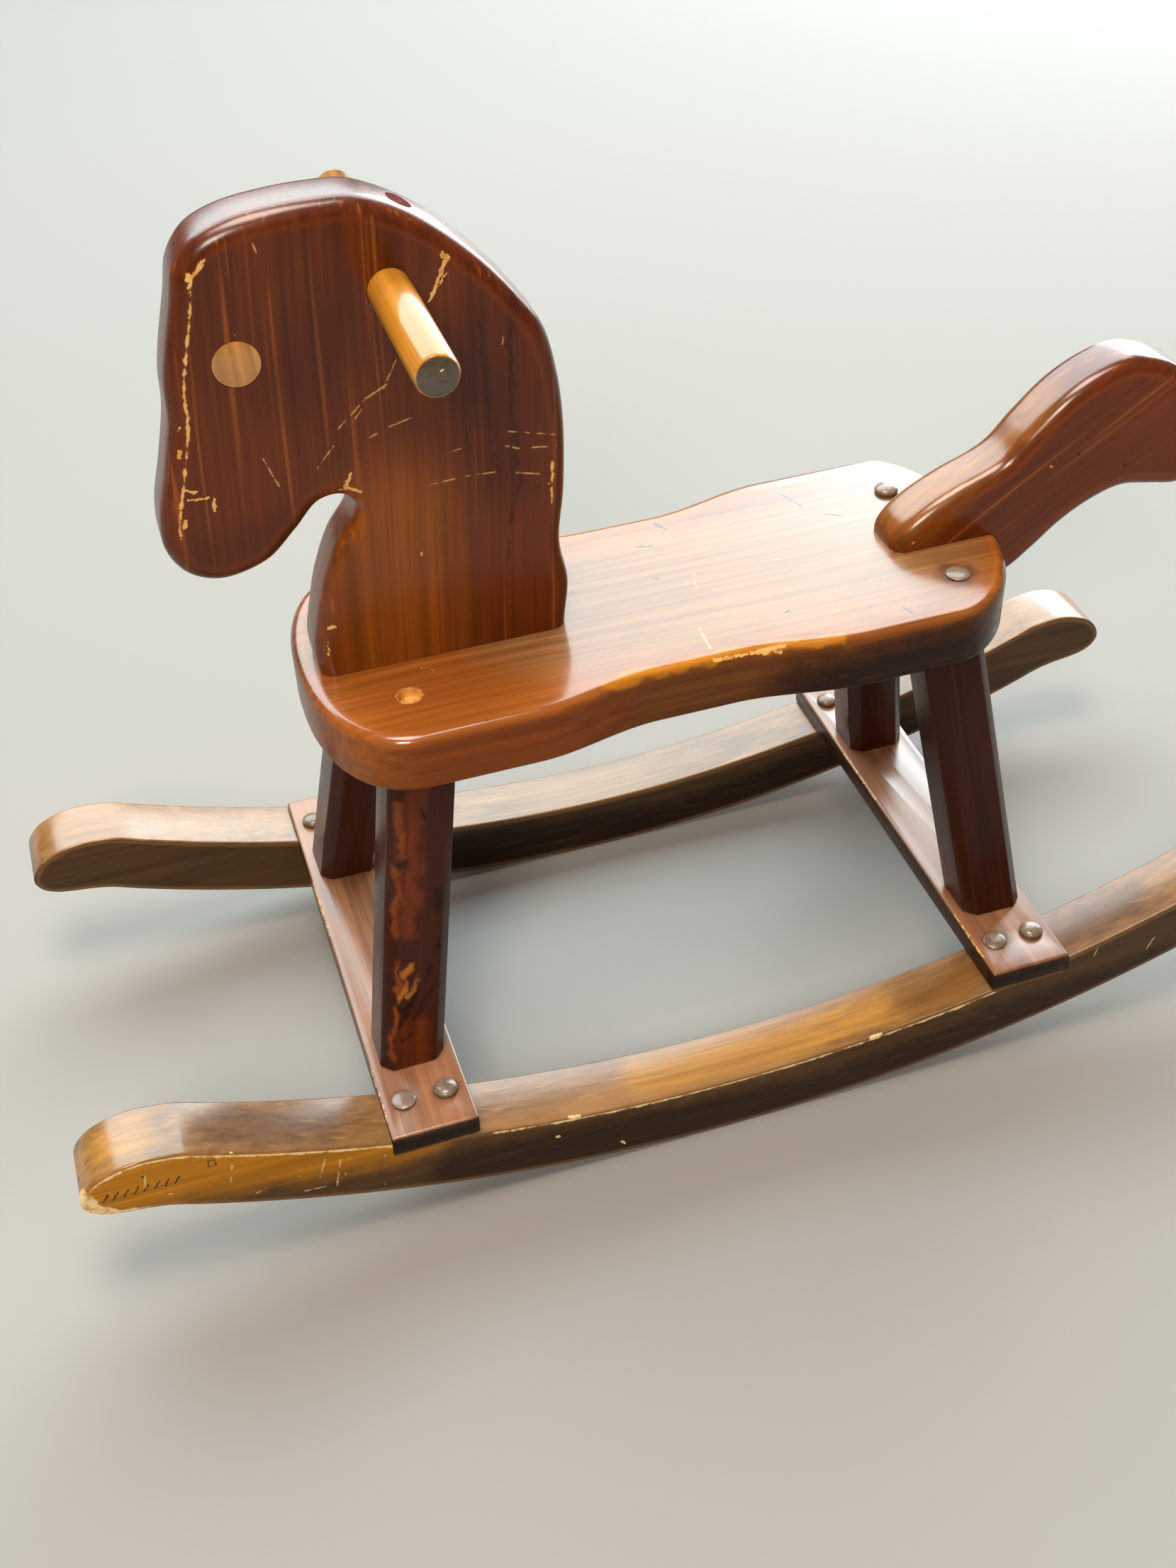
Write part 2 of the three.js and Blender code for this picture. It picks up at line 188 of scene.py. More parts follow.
def rounded_levels(radius, steps=7):
    """Inset, height and wear place of each ring, from inside the flat face to the side."""
    levels = [(radius + 6 * MM, 0, 2)]
    for k in range(steps + 1):
        turn = k / steps * math.pi / 2
        levels.append((radius * (1 - math.sin(turn)), radius * (1 - math.cos(turn)), 1 - k / steps))
    return levels


def board(name, outline, thickness, low_radius, high_radius, standing=True):
    """A board with rounded edges. Its attribute edge is 0 on the side, 1 where the rounding meets
    the face and 2 from a little further in."""
    outline = counterclockwise(outline)
    high = [(d, thickness - h, e) for d, h, e in reversed(rounded_levels(high_radius))]
    levels = rounded_levels(low_radius) + high
    rings = [[(p.x, p.y, height) for p in inset(outline, d)] for d, height, _ in levels]
    count = len(outline)
    faces = [tuple(reversed(range(count)))]
    for k in range(len(rings) - 1):
        for i in range(count):
            j = (i + 1) % count
            faces.append((k * count + i, k * count + j, (k + 1) * count + j, (k + 1) * count + i))
    faces.append(tuple((len(rings) - 1) * count + i for i in range(count)))
    mesh = bpy.data.meshes.new(name)
    mesh.from_pydata([p for ring in rings for p in ring], [], faces)
    edge = mesh.attributes.new("edge", "FLOAT", "POINT")
    edge.data.foreach_set("value", [e for _, _, e in levels for _ in range(count)])
    if standing:
        mesh.transform(Matrix.Translation((0, thickness / 2, 0)) @ Matrix.Rotation(math.pi / 2, 4, "X"))
    return placed(name, mesh)


def placed(name, mesh):
    piece = bpy.data.objects.new(name, mesh)
    bpy.context.scene.collection.objects.link(piece)
    return piece


def lathe(name, profile, steps=48):
    """A profile of radius and height turned round the z axis, from its foot to its top."""
    mesh = bpy.data.meshes.new(name)
    build = bmesh.new()
    rings = []
    for radius, height in profile:
        if radius == 0:
            rings.append([build.verts.new((0, 0, height))])
        else:
            rings.append([build.verts.new((radius * math.cos(2 * math.pi * k / steps),
                                           radius * math.sin(2 * math.pi * k / steps), height))
                          for k in range(steps)])
    for low, high in zip(rings, rings[1:]):
        for k in range(steps):
            corners = [low[k % len(low)], low[(k + 1) % len(low)],
                       high[(k + 1) % len(high)], high[k % len(high)]]
            build.faces.new(list(dict.fromkeys(corners)))
    build.to_mesh(mesh)
    build.free()
    return placed(name, mesh)


def bore_cutter(diameter, depth, place, turn=None):
    """A plain cylinder round place, half its depth each way."""
    r = diameter / 2
    cutter = lathe("cutter", [(0, -depth / 2), (r, -depth / 2), (r, depth / 2), (0, depth / 2)])
    cutter.data.transform(Matrix.Translation(place) @ (turn or Matrix.Identity(4)))
    return cutter


def block_cutter(low, high):
    mesh = bpy.data.meshes.new("cutter")
    build = bmesh.new()
    bmesh.ops.create_cube(build, size=1)
    build.to_mesh(mesh)
    build.free()
    mesh.transform(Matrix.Translation((low + high) / 2) @ Matrix.Diagonal((*(high - low), 1)))
    return placed("cutter", mesh)


def settled(piece):
    """Turns the piece's modifiers into plain mesh, so that none is left on it."""
    bpy.context.view_layer.update()
    made = bpy.data.meshes.new_from_object(piece.evaluated_get(bpy.context.evaluated_depsgraph_get()))
    piece.modifiers.clear()
    piece.data = made


def cut(piece, *cutters, operation="DIFFERENCE"):
    """Cuts the piece. What is left of its skin keeps the attribute edge, read from the skin as it
    was, and the fresh cuts count as far from an edge."""
    skin = bmesh.new()
    skin.from_mesh(piece.data)
    bmesh.ops.triangulate(skin, faces=skin.faces)
    skin.faces.ensure_lookup_table()
    edge = skin.verts.layers.float["edge"]
    tree = BVHTree.FromBMesh(skin)
    for cutter in cutters:
        modifier = piece.modifiers.new("Cut", "BOOLEAN")
        modifier.operation = operation
        modifier.solver = "EXACT"
        modifier.object = cutter
    settled(piece)
    for cutter in cutters:
        bpy.data.objects.remove(cutter)
    values = []
    for vertex in piece.data.vertices:
        place, _, index, distance = tree.find_nearest(vertex.co)
        if distance > SAME_PLACE:
            values.append(2.0)
        else:
            corners = skin.faces[index].verts
            weights = poly_3d_calc([v.co for v in corners], place)
            values.append(sum(v[edge] * weight for v, weight in zip(corners, weights)))
    piece.data.attributes["edge"].data.foreach_set("value", values)
    skin.free()


def softened_copy(name, node, easing):
    """A copy of a CAD node with its facets joined and its edges sanded."""
    piece = placed(name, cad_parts[node].data.copy())
    piece.data.materials.clear()
    build = bmesh.new()
    build.from_mesh(piece.data)
    bmesh.ops.remove_doubles(build, verts=build.verts, dist=SAME_PLACE)
    bmesh.ops.dissolve_limit(build, angle_limit=math.radians(1), verts=build.verts, edges=build.edges)
    build.to_mesh(piece.data)
    build.free()
    bevel = piece.modifiers.new("Sanded edges", "BEVEL")
    bevel.width = easing
    bevel.segments = 3
    bevel.limit_method = "ANGLE"
    bevel.angle_limit = math.radians(30)
    settled(piece)
    return piece


def finished(piece, material, slot, *nodes):
    """Smooths the piece's shading, paints it, and lets it ride in its nodes' stead."""
    mesh = piece.data
    build = bmesh.new()
    build.from_mesh(mesh)
    bmesh.ops.triangulate(build, faces=[f for f in build.faces if len(f.verts) > 4])
    build.to_mesh(mesh)
    build.free()
    mesh.polygons.foreach_set("use_smooth", [True] * len(mesh.polygons))
    mesh.set_sharp_from_angle(angle=math.radians(35))
    upward = mesh.attributes.new("upward", "FLOAT", "CORNER")
    upward.data.foreach_set("value", [normal.vector.z for normal in mesh.corner_normals])
    mesh.materials.clear()
    mesh.materials.append(material)
    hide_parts(*nodes)
    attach(piece, "root")
    return piece


# Materials


# Widths of the wood's patterns across the grain, in mm. Real pine fibres are under 0.1 mm wide. Here
# they are drawn 1.1 mm wide, and the streaks and lines as wide as they need to show.
FIBRE = 1.111
HARD_LINE = 3.846
SOFT_VEIN = 4.348
STREAK = 4.762
BLOT = 71.43
RING_SWAY = 111.1
GRAIN_WAVE = 142.9

# Widths of the wear's patterns, in mm: ragged edges of chips and of stains, gaps along a scratch,
# patches of a worn rim, and the spacing of small dents.
CHIP_EDGE = 2.381
STAIN_EDGE = 12.5
SCRATCH_GAP = 6.25
WORN_PATCH = 28.57
DENT_SPACING = 18.18

DENT_BROWN = 0x2A140A
NICK_BROWN = 0x1E0F07
HALF_WORN = 0xD08C38

SMOOTH = {"interpolation_type": "SMOOTHSTEP"}
RGBA = {"data_type": "RGBA"}


def linear(colour):
    """An sRGB hex value, or three sRGB shares, as a linear colour."""
    if isinstance(colour, int):
        colour = [(colour >> shift & 255) / 255 for shift in (16, 8, 0)]
    return (*(c / 12.92 if c <= 0.04045 else ((c + 0.055) / 1.055) ** 2.4 for c in colour), 1)


def toned(colour, factor):
    """A linear colour made darker or lighter."""
    return (*(min(c * factor, 1) for c in colour[:3]), 1)


def add(tree, kind, *values, **settings):
    """Adds a node with its settings and links. The values go to its inputs in use, in turn, or by
    name as one dict: a number, a colour, a node's output, or a node for its first output in use."""
    made = tree.nodes.new(kind)
    for name, value in settings.items():
        setattr(made, name, value)
    if values and isinstance(values[0], dict):
        given = [(made.inputs[key], value) for key, value in values[0].items()]
    else:
        given = zip([socket for socket in made.inputs if socket.enabled], values)
    for socket, value in given:
        if isinstance(value, bpy.types.Node):
            value = next(output for output in value.outputs if output.enabled)
        if isinstance(value, bpy.types.NodeSocket):
            tree.links.new(value, socket)
        else:
            socket.default_value = value
    return made


def wood_pattern(tree, point, width, detail=2.0, roughness=0.5, stretch=(1, 1, 1), seed=0.0):
    """A pattern of this width in mm, drawn out along an axis where its stretch is small."""
    scale = 1000 / width
    scaled = add(tree, "ShaderNodeVectorMath", point, [s * scale for s in stretch], operation="MULTIPLY")
    return add(tree, "ShaderNodeTexNoise", scaled, seed, 1.0, detail, roughness, noise_dimensions="4D")


def mark_group():
    """Node group: how near a point lies to a line from A to B, 1 on it and 0 beyond Width."""
    if "Mark" in bpy.data.node_groups:
        return bpy.data.node_groups["Mark"]
    tree = bpy.data.node_groups.new("Mark", "ShaderNodeTree")
    for name, kind in (("Point", "Vector"), ("A", "Vector"), ("B", "Vector"), ("Width", "Float")):
        tree.interface.new_socket(name, in_out="INPUT", socket_type="NodeSocket" + kind)
    tree.interface.new_socket("Mask", in_out="OUTPUT", socket_type="NodeSocketFloat")
    given = add(tree, "NodeGroupInput").outputs
    from_a = add(tree, "ShaderNodeVectorMath", given["Point"], given["A"], operation="SUBTRACT")
    line = add(tree, "ShaderNodeVectorMath", given["B"], given["A"], operation="SUBTRACT")
    square = add(tree, "ShaderNodeVectorMath", line, line, operation="DOT_PRODUCT")
    above_zero = add(tree, "ShaderNodeMath", square, 1e-9, operation="MAXIMUM")
    along = add(tree, "ShaderNodeVectorMath", from_a, line, operation="DOT_PRODUCT")
    share = add(tree, "ShaderNodeMath", along, above_zero, operation="DIVIDE", use_clamp=True)
    nearest = add(tree, "ShaderNodeVectorMath", line, share, operation="SCALE")
    away = add(tree, "ShaderNodeVectorMath", from_a, nearest, operation="DISTANCE")
    gone = add(tree, "ShaderNodeMath", away, given["Width"], operation="DIVIDE")
    mask = add(tree, "ShaderNodeMath", 1.0, gone, operation="SUBTRACT", use_clamp=True)
    add(tree, "NodeGroupOutput", mask)
    return tree


def marks(tree, point, places):
    """The strongest of several marks; a place is two points and a half-width, in mm."""
    strongest = 0.0
    for a, b, width in places:
        mark = add(tree, "ShaderNodeGroup", point, Vector(a) * MM, Vector(b) * MM, width * MM,
                   node_tree=mark_group())
        strongest = add(tree, "ShaderNodeMath", mark, strongest, operation="MAXIMUM")
    return strongest


def on_side(y, *lines):
    """Mark places on a board's face at this y, in mm. A line is a half-width and x and z points."""
    return [((a[0], y, a[1]), (b[0], y, b[1]), width)
            for width, *points in lines for a, b in zip(points, points[1:])]


def on_top(z, *lines):
    """Mark places on a board's top at this z, in mm. A line is a half-width and x and y points."""
    return [((*a, z), (*b, z), width) for width, *points in lines for a, b in zip(points, points[1:])]


def spot(x, y, z, radius):
    """One round mark place, in mm."""
    return ((x, y, z), (x, y, z), radius)


def stained_pine(name, stain, bare, turn, seed, lines=0.3, line_tint=0xC9701F, veins=0.4, rings=0.0,
                 pith=(0, 60, 0), ring=6.0, tints=(), side_tints=(), drift=3.0, chips=(), scratches=(),
                 nicks=(), rubs=(), rub_start=0.9, rim_glow=0.0, rim_wear=0.0, pits=0.0, side=0.6,
                 roughness=0.3, specular=0.12, coat=0.6, side_coat=0.4, coat_roughness=0.12):
    """Planed pine under a dark stain and a wiped varnish, with straight fine grain.

    turn, in degrees, brings the grain to the z axis. lines are hard grain that took little stain,
    veins are soft grain that took most, and rings are the year rings, a ring's mm apart, round the
    pith. A tint is a colour, its strength, its softness and its places; side_tints leave out the
    surfaces that face up, and drift is how far in mm a tint's edge wanders. chips and scratches show
    bare wood, nicks are dark, and rubs are the stretches whose rims are rubbed through, more of
    them where rub_start is low. rim_glow lightens and rim_wear bares patches of every rim, and pits
    are small dents. Surfaces that don't face up are darker by side and duller by side_coat."""
    material = bpy.data.materials.new(name)
    material.use_nodes = True
    tree = material.node_tree
    tree.nodes.clear()
    put = partial(add, tree)
    point = put("ShaderNodeTexCoord").outputs["Object"]
    grain = put("ShaderNodeMapping", {"Vector": point, "Rotation": [math.radians(a) for a in turn]})
    wave = wood_pattern(tree, grain, GRAIN_WAVE, 1.0, 0.5, (1, 1, 0.6), seed)
    bend = put("ShaderNodeVectorMath", (0.012, 0.012, 0), wave, operation="SCALE")
    grain = put("ShaderNodeVectorMath", grain, bend, operation="ADD")

    fibre = wood_pattern(tree, grain, FIBRE, 2.0, 0.6, (1, 1, 0.018), seed + 5)
    streak = wood_pattern(tree, grain, STREAK, 3.0, 0.6, (1, 1, 0.02), seed + 7)
    streaky = put("ShaderNodeMapRange", streak, 0.3, 0.75, **SMOOTH)
    blot = wood_pattern(tree, grain, BLOT, 3.0, 0.5, (1, 1, 0.35), seed + 9)
    blotchy = put("ShaderNodeMapRange", blot, 0.4, 0.75, 0.0, 0.5, **SMOOTH)
    line = wood_pattern(tree, grain, HARD_LINE, 1.0, 0.5, (1, 1, 0.012), seed + 11)
    line = put("ShaderNodeMapRange", line, 0.6, 0.74, **SMOOTH)
    vein = wood_pattern(tree, grain, SOFT_VEIN, 1.0, 0.5, (1, 1, 0.014), seed + 13)
    vein = put("ShaderNodeMapRange", vein, 0.6, 0.76, **SMOOTH)

    base = linear(stain)
    deep, pale = toned(base, 0.5), toned(base, 1.5)
    colour = put("ShaderNodeMix", streaky, deep, base, **RGBA)
    colour = put("ShaderNodeMix", blotchy, colour, pale, **RGBA)
    if rings:
        sway = wood_pattern(tree, grain, RING_SWAY, 2.0, 0.5, (1, 1, 0.5), seed)
        sway = put("ShaderNodeMath", sway, 0.5, operation="SUBTRACT")
        sway = put("ShaderNodeMath", sway, 7 * ring * MM, operation="MULTIPLY")
        core = put("ShaderNodeVectorMath", grain, Vector(pith) * MM, operation="ADD")
        across = put("ShaderNodeVectorMath", core, (1, 1, 0), operation="MULTIPLY")
        away = put("ShaderNodeVectorMath", across, operation="LENGTH")
        away = put("ShaderNodeMath", away, sway, operation="ADD")
        years = put("ShaderNodeMath", away, ring * MM, operation="DIVIDE")
        saw = put("ShaderNodeMath", years, operation="FRACT")
        late = put("ShaderNodeMath", put("ShaderNodeMapRange", saw, 0.35, 0.9, **SMOOTH),
                   put("ShaderNodeMapRange", saw, 1.0, 0.92, **SMOOTH), operation="MULTIPLY")
        share = put("ShaderNodeMath", late, rings, operation="MULTIPLY")
        colour = put("ShaderNodeMix", share, colour, deep, **RGBA)
    share = put("ShaderNodeMath", vein, veins, operation="MULTIPLY")
    colour = put("ShaderNodeMix", share, colour, toned(base, 0.3), **RGBA)
    share = put("ShaderNodeMath", line, lines, operation="MULTIPLY")
    colour = put("ShaderNodeMix", share, colour, linear(line_tint), **RGBA)

    # What faces up is worn to a gloss and keeps its full colour. The other surfaces are multiplied by side:
    # painted shade where side is under 1, painted light where it is over 1.
    upward = put("ShaderNodeAttribute", attribute_name="upward").outputs["Fac"]
    top = put("ShaderNodeMapRange", upward, 0.1, 0.85, **SMOOTH)
    sides = put("ShaderNodeMath", 1.0, top, operation="SUBTRACT")
    shade = put("ShaderNodeMix", top, (side, side, side, 1), (1, 1, 1, 1), **RGBA)
    colour = put("ShaderNodeMix", 1.0, colour, shade, blend_type="MULTIPLY", **RGBA)

    clouds = put("ShaderNodeTexNoise", {"Vector": grain, "Scale": 1000 / STAIN_EDGE, "Detail": 3.0})
    wander = put("ShaderNodeVectorMath", clouds.outputs["Color"], (0.5, 0.5, 0.5), operation="SUBTRACT")
    wander = put("ShaderNodeVectorMath", wander, 4 * drift * MM, operation="SCALE")
    wandered = put("ShaderNodeVectorMath", point, wander, operation="ADD")
    for where, tinted in ((None, tints), (sides, side_tints)):
        for tint, strength, softness, places in tinted:
            near = marks(tree, wandered, places)
            share = put("ShaderNodeMapRange", near, 0.0, softness, 0.0, strength, **SMOOTH)
            if where:
                share = put("ShaderNodeMath", share, where, operation="MULTIPLY")
            paint = linear(tint)
            paint = put("ShaderNodeMix", streaky, toned(paint, 0.6), paint, **RGBA)
            colour = put("ShaderNodeMix", share, colour, paint, **RGBA)
    share = put("ShaderNodeMapRange", fibre, 0.5, 0.8, 0.0, 0.4, **SMOOTH)
    colour = put("ShaderNodeMix", share, colour, deep, **RGBA)

    # Wear: ragged chips and scratches where the real ones are, and rubbed edges
    fine = put("ShaderNodeTexNoise", {"Vector": point, "Scale": 1000 / CHIP_EDGE, "Detail": 3.0})
    nudge = put("ShaderNodeVectorMath", fine.outputs["Color"], (0.5, 0.5, 0.5), operation="SUBTRACT")
    nudge = put("ShaderNodeVectorMath", nudge, 3 * MM, operation="SCALE")
    ragged = put("ShaderNodeVectorMath", point, nudge, operation="ADD")
    gaps = wood_pattern(tree, point, SCRATCH_GAP, 3.0, 0.6, seed=seed + 2)
    worn = 0.0
    if chips:
        worn = put("ShaderNodeMapRange", marks(tree, ragged, chips), 0.15, 0.3, **SMOOTH)
    if scratches:
        broken = put("ShaderNodeMapRange", gaps, 0.38, 0.6, **SMOOTH)
        thin = put("ShaderNodeMath", marks(tree, point, scratches), broken, operation="MULTIPLY")
        thin = put("ShaderNodeMapRange", thin, 0.1, 0.7, 0.0, 0.6, **SMOOTH)
        worn = put("ShaderNodeMath", worn, thin, operation="MAXIMUM")
    if nicks:
        share = put("ShaderNodeMapRange", marks(tree, ragged, nicks), 0.2, 0.5, 0.0, 0.9, **SMOOTH)
        colour = put("ShaderNodeMix", share, colour, linear(NICK_BROWN), **RGBA)
    if pits:
        cells = put("ShaderNodeTexVoronoi", {"Vector": point, "Scale": 1000 / DENT_SPACING})
        dents = put("ShaderNodeMath", put("ShaderNodeMapRange", cells, 0.08, 0.04, **SMOOTH),
                    put("ShaderNodeMapRange", gaps, 0.5, 0.56, **SMOOTH), operation="MULTIPLY")
        share = put("ShaderNodeMath", dents, pits, operation="MULTIPLY")
        colour = put("ShaderNodeMix", share, colour, linear(DENT_BROWN), **RGBA)
    edge = put("ShaderNodeAttribute", attribute_name="edge").outputs["Fac"]
    inward = put("ShaderNodeMath", edge, 1.0, operation="SUBTRACT")
    outward = put("ShaderNodeMath", edge, -2.5, 2.5, operation="MULTIPLY_ADD")
    off = put("ShaderNodeMath", inward, outward, operation="MAXIMUM")
    rim = put("ShaderNodeMath", 1.0, off, operation="SUBTRACT", use_clamp=True)
    if rim_glow:
        share = put("ShaderNodeMapRange", rim, 0.45, 1.0, 0.0, rim_glow, **SMOOTH)
        colour = put("ShaderNodeMix", share, colour, pale, **RGBA)
    if rim_wear:
        patch = wood_pattern(tree, point, WORN_PATCH, 4.0, 0.65, seed=seed + 12)
        rubbed = put("ShaderNodeMath", put("ShaderNodeMapRange", rim, 0.75, 0.95, **SMOOTH),
                     put("ShaderNodeMapRange", patch, 0.7 - rim_wear, 0.72, **SMOOTH), operation="MULTIPLY")
        rubbed = put("ShaderNodeMapRange", rubbed, 0.3, 0.7, 0.0, 0.75, **SMOOTH)
        worn = put("ShaderNodeMath", worn, rubbed, operation="MAXIMUM")
    if rubs:
        near = put("ShaderNodeMapRange", marks(tree, point, rubs), 0.0, 0.5, **SMOOTH)
        near = put("ShaderNodeMath", rim, near, operation="MULTIPLY")
        patchy = put("ShaderNodeMapRange", gaps, 0.25, 0.75, **SMOOTH)
        near = put("ShaderNodeMath", patchy, 0.35, near, operation="MULTIPLY_ADD")
        rubbed = put("ShaderNodeMapRange", near, rub_start, rub_start + 0.15, **SMOOTH)
        worn = put("ShaderNodeMath", worn, rubbed, operation="MAXIMUM")
    share = put("ShaderNodeMapRange", gaps, 0.3, 0.55, **SMOOTH)
    wood = put("ShaderNodeMix", share, linear(HALF_WORN), linear(bare), **RGBA)
    colour = put("ShaderNodeMix", worn, colour, wood, **RGBA)

    gloss = put("ShaderNodeMath", streak, 0.3, roughness - 0.15, operation="MULTIPLY_ADD")
    gloss = put("ShaderNodeMath", worn, 0.3, gloss, operation="MULTIPLY_ADD", use_clamp=True)
    relief = put("ShaderNodeMath", fibre, 0.5, operation="MULTIPLY")
    relief = put("ShaderNodeMath", line, 0.4, relief, operation="MULTIPLY_ADD")
    bump = put("ShaderNodeBump", {"Strength": 0.2, "Distance": 0.3 * MM, "Height": relief})
    polish = coat
    if coat and side_coat < 1:
        polish = put("ShaderNodeMath", top, coat * (1 - side_coat), coat * side_coat,
                     operation="MULTIPLY_ADD")
    shader = put("ShaderNodeBsdfPrincipled",
                 {"Base Color": colour, "Roughness": gloss, "Normal": bump, "Coat Normal": bump, "IOR": 1.5,
                  "Specular IOR Level": specular, "Coat Weight": polish, "Coat Roughness": coat_roughness,
                  "Coat IOR": 1.65})
    put("ShaderNodeOutputMaterial", {"Surface": shader})
    return material


# Pieces


def halfway(node):
    low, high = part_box(node)
    return (low + high) / 2


def board_outline(edge, start, end, foot_x, steps):
    """A board's smooth edge between two plain corners that lie out of sight in the seat."""
    points = [Vector((x * MM + foot_x, z * MM + SEAT_TOP)) for x, z in (start, *edge, end)]
    return [points[0], *smooth_line(points[1:-1], steps), points[-1]]


def head_board(name, sizes):
    """The head board without its bores, cut level just over the seat."""
    low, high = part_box("head_and_neck")
    outline = board_outline(HEAD_EDGE, (3.5, -60), (150, -60), HEAD_FOOT_X, sizes.outline_steps)
    head = board(name, outline, high.y - low.y, sizes.board_rounding, sizes.board_rounding)
    cut(head, block_cutter(Vector((low.x - 1, -1, low.z - 1)), Vector((high.x + 1, 1, low.z))))
    return head


def plug_cutter(air):
    """A bar round the mane plug's axis, which points at the handle, from the plug's foot up past
    its top."""
    middle = halfway("mane_plug")
    aim = (middle - halfway("handle_dowel")).normalized()
    low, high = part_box("mane_plug")
    length = (high.z - low.z) / aim.z
    turn = aim.to_track_quat("Z", "Y").to_matrix().to_4x4()
    past_top = 20 * MM
    depth = length + 2 * air + past_top
    return bore_cutter(PLUG_DIAMETER + 2 * air, depth, middle + aim * past_top / 2, turn)


class ROCKINGHORSE_OT_head(Operator):
    """Makes the head board with its bores for the handle, the eye and the mane plug"""
    bl_idname = "rockinghorse.head"
    bl_label = "Head"

    def execute(self, context):
        sizes = context.scene.rocking_horse_sizes
        colours = context.scene.rocking_horse_colours
        head = head_board("head", sizes)
        across = Matrix.Rotation(math.pi / 2, 4, "X")
        cutters = []
        for node in ("handle_dowel", "eye_dowel"):
            a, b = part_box(node)
            cutters.append(bore_cutter(b.x - a.x + 2 * FIT, 0.1, halfway(node), across))
        cut(head, *cutters, plug_cutter(FIT))
        y = HEAD_FACE / MM
        chips = on_side(
            y, (1.2, (-239, 581), (-244, 577), (-247, 571)), (1.8, (-246, 577), (-247, 575)),
            (1.7, (-265, 496), (-266, 495)), (1.7, (-267, 483), (-268, 480)), (1.1, (-268, 460), (-263, 458)),
            (0.9, (-267, 454), (-257, 453)), (1.0, (-254, 452), (-255, 445)), (1.4, (-271, 442), (-272, 438)),
            (2.2, (-119, 566), (-117, 564)), (1.5, (-118, 563), (-121, 556)), (1.0, (-121, 556), (-128, 542)),
            (0.6, (-118, 556), (-126, 545)), (1.3, (-189, 441), (-183, 443), (-176, 439)),
            (1.3, (-184, 444), (-180, 451)), (1.4, (-207, 353), (-201, 355)), (0.9, (-206, 344), (-206, 336)),
            (1.2, (-146, 392), (-146, 391)))
        rubs = on_side(y, (12, (-252, 566), (-262, 520), (-268, 470), (-274, 438)),
                       (8, (-66, 430), (-62, 392)), (7, (-243, 580), (-238, 583)))
        scratches = on_side(
            y, (0.9, (-184, 479), (-176, 486), (-167, 494), (-155, 500)), (0.8, (-187, 470), (-197, 459)),
            (0.8, (-176, 481), (-170, 488)), (0.9, (-167, 471), (-156, 475), (-144, 478)),
            (0.7, (-148, 514), (-157, 498)), (0.8, (-92, 459), (-64, 451)),
            (0.9, (-97, 452), (-86, 447), (-64, 444)), (0.9, (-88, 432), (-66, 426)),
            (0.7, (-76, 424), (-66, 419)), (0.8, (-137, 435), (-119, 436), (-100, 435)),
            (0.7, (-123, 453), (-117, 454)), (0.7, (-229, 543), (-229, 541)), (0.9, (-213, 588), (-212, 583)),
            (0.7, (-90, 516), (-91, 511)), (0.8, (-225, 470), (-219, 452)))
        glow = on_side(y, (66, (-165, 310), (-158, 415)))
        # The shaded places are a painted shadow of the handle, under it and beside it on the face.
        shaded = on_side(y, (46, (-172, 535), (-200, 512)), (34, (-98, 520), (-94, 430)))
        dark_lines = on_side(y, (1.6, (-103, 533), (-98, 432)), (1.8, (-87, 524), (-87, 424)),
                             (1.5, (-88, 424), (-99, 357)))
        jaw = on_side(y, (30, (-262, 412), (-215, 425)))
        # Flat-sawn pine, brushed with red-brown stain and wiped with satin varnish: straight orange
        # and near-black lines up the neck, a soft sheen on the faces and glossy, rubbed rims.
        material = stained_pine(
            "Red-brown stained pine, satin varnish", colours.board, colours.bare, (0, -2.5, 0), 3.0,
            lines=0.4, veins=0.4, chips=chips, scratches=scratches, rubs=rubs, rub_start=1.02,
            tints=[(0xC06A1C, 0.5, 0.9, glow), (0x4A1A0C, 0.5, 0.9, shaded),
                   (0x3A140A, 0.6, 0.6, dark_lines), (0x4A1A0C, 0.5, 0.9, jaw)],
            rim_glow=0.25, rim_wear=0.05, side=0.85, coat=1.0, side_coat=0.3, coat_roughness=0.24)
        finished(head, material, "board_wood", "head_and_neck")
        return {"FINISHED"}


class ROCKINGHORSE_OT_tail(Operator):
    """Makes the tail board, fitted over the seat's rounded rear edge"""
    bl_idname = "rockinghorse.tail"
    bl_label = "Tail"

    def execute(self, context):
        sizes = context.scene.rocking_horse_sizes
        colours = context.scene.rocking_horse_colours
        low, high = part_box("tail")
        outline = board_outline(TAIL_EDGE, (1, -30), (45, -34), TAIL_FOOT_X, sizes.outline_steps)
        tail = board("tail_board", outline, high.y - low.y, sizes.board_rounding, sizes.board_rounding)
        cut(tail, seat_board("seat room", sizes, FIT))
        y = low.y / MM
        # The same stained board with its crest polished by hands: lighter, honey-coloured rims
        # that shine, and grain that runs along the tail. The orange tint low on its side is a painted
        # highlight.
        material = stained_pine(
            "Red-brown stained pine, rubbed varnish", colours.board, colours.bare, (0, 125, 0), 11.0,
            lines=0.35, veins=0.3, tints=[(0xC07A28, 0.85, 0.9, [((170, 0, 340), (240, 0, 405), 32)])],
            chips=on_side(y, (1.0, (255, 362), (256, 361))),
            scratches=on_side(y, (1.2, (212, 405), (222, 411))),
            nicks=on_side(y, (1.3, (273, 367), (274, 366)), (1.3, (308, 352), (309, 351))),
            rim_glow=0.6, rim_wear=0.07, side=1.1, coat=1.0, side_coat=0.25, coat_roughness=0.2)
        finished(tail, material, "board_wood", "tail")
        return {"FINISHED"}


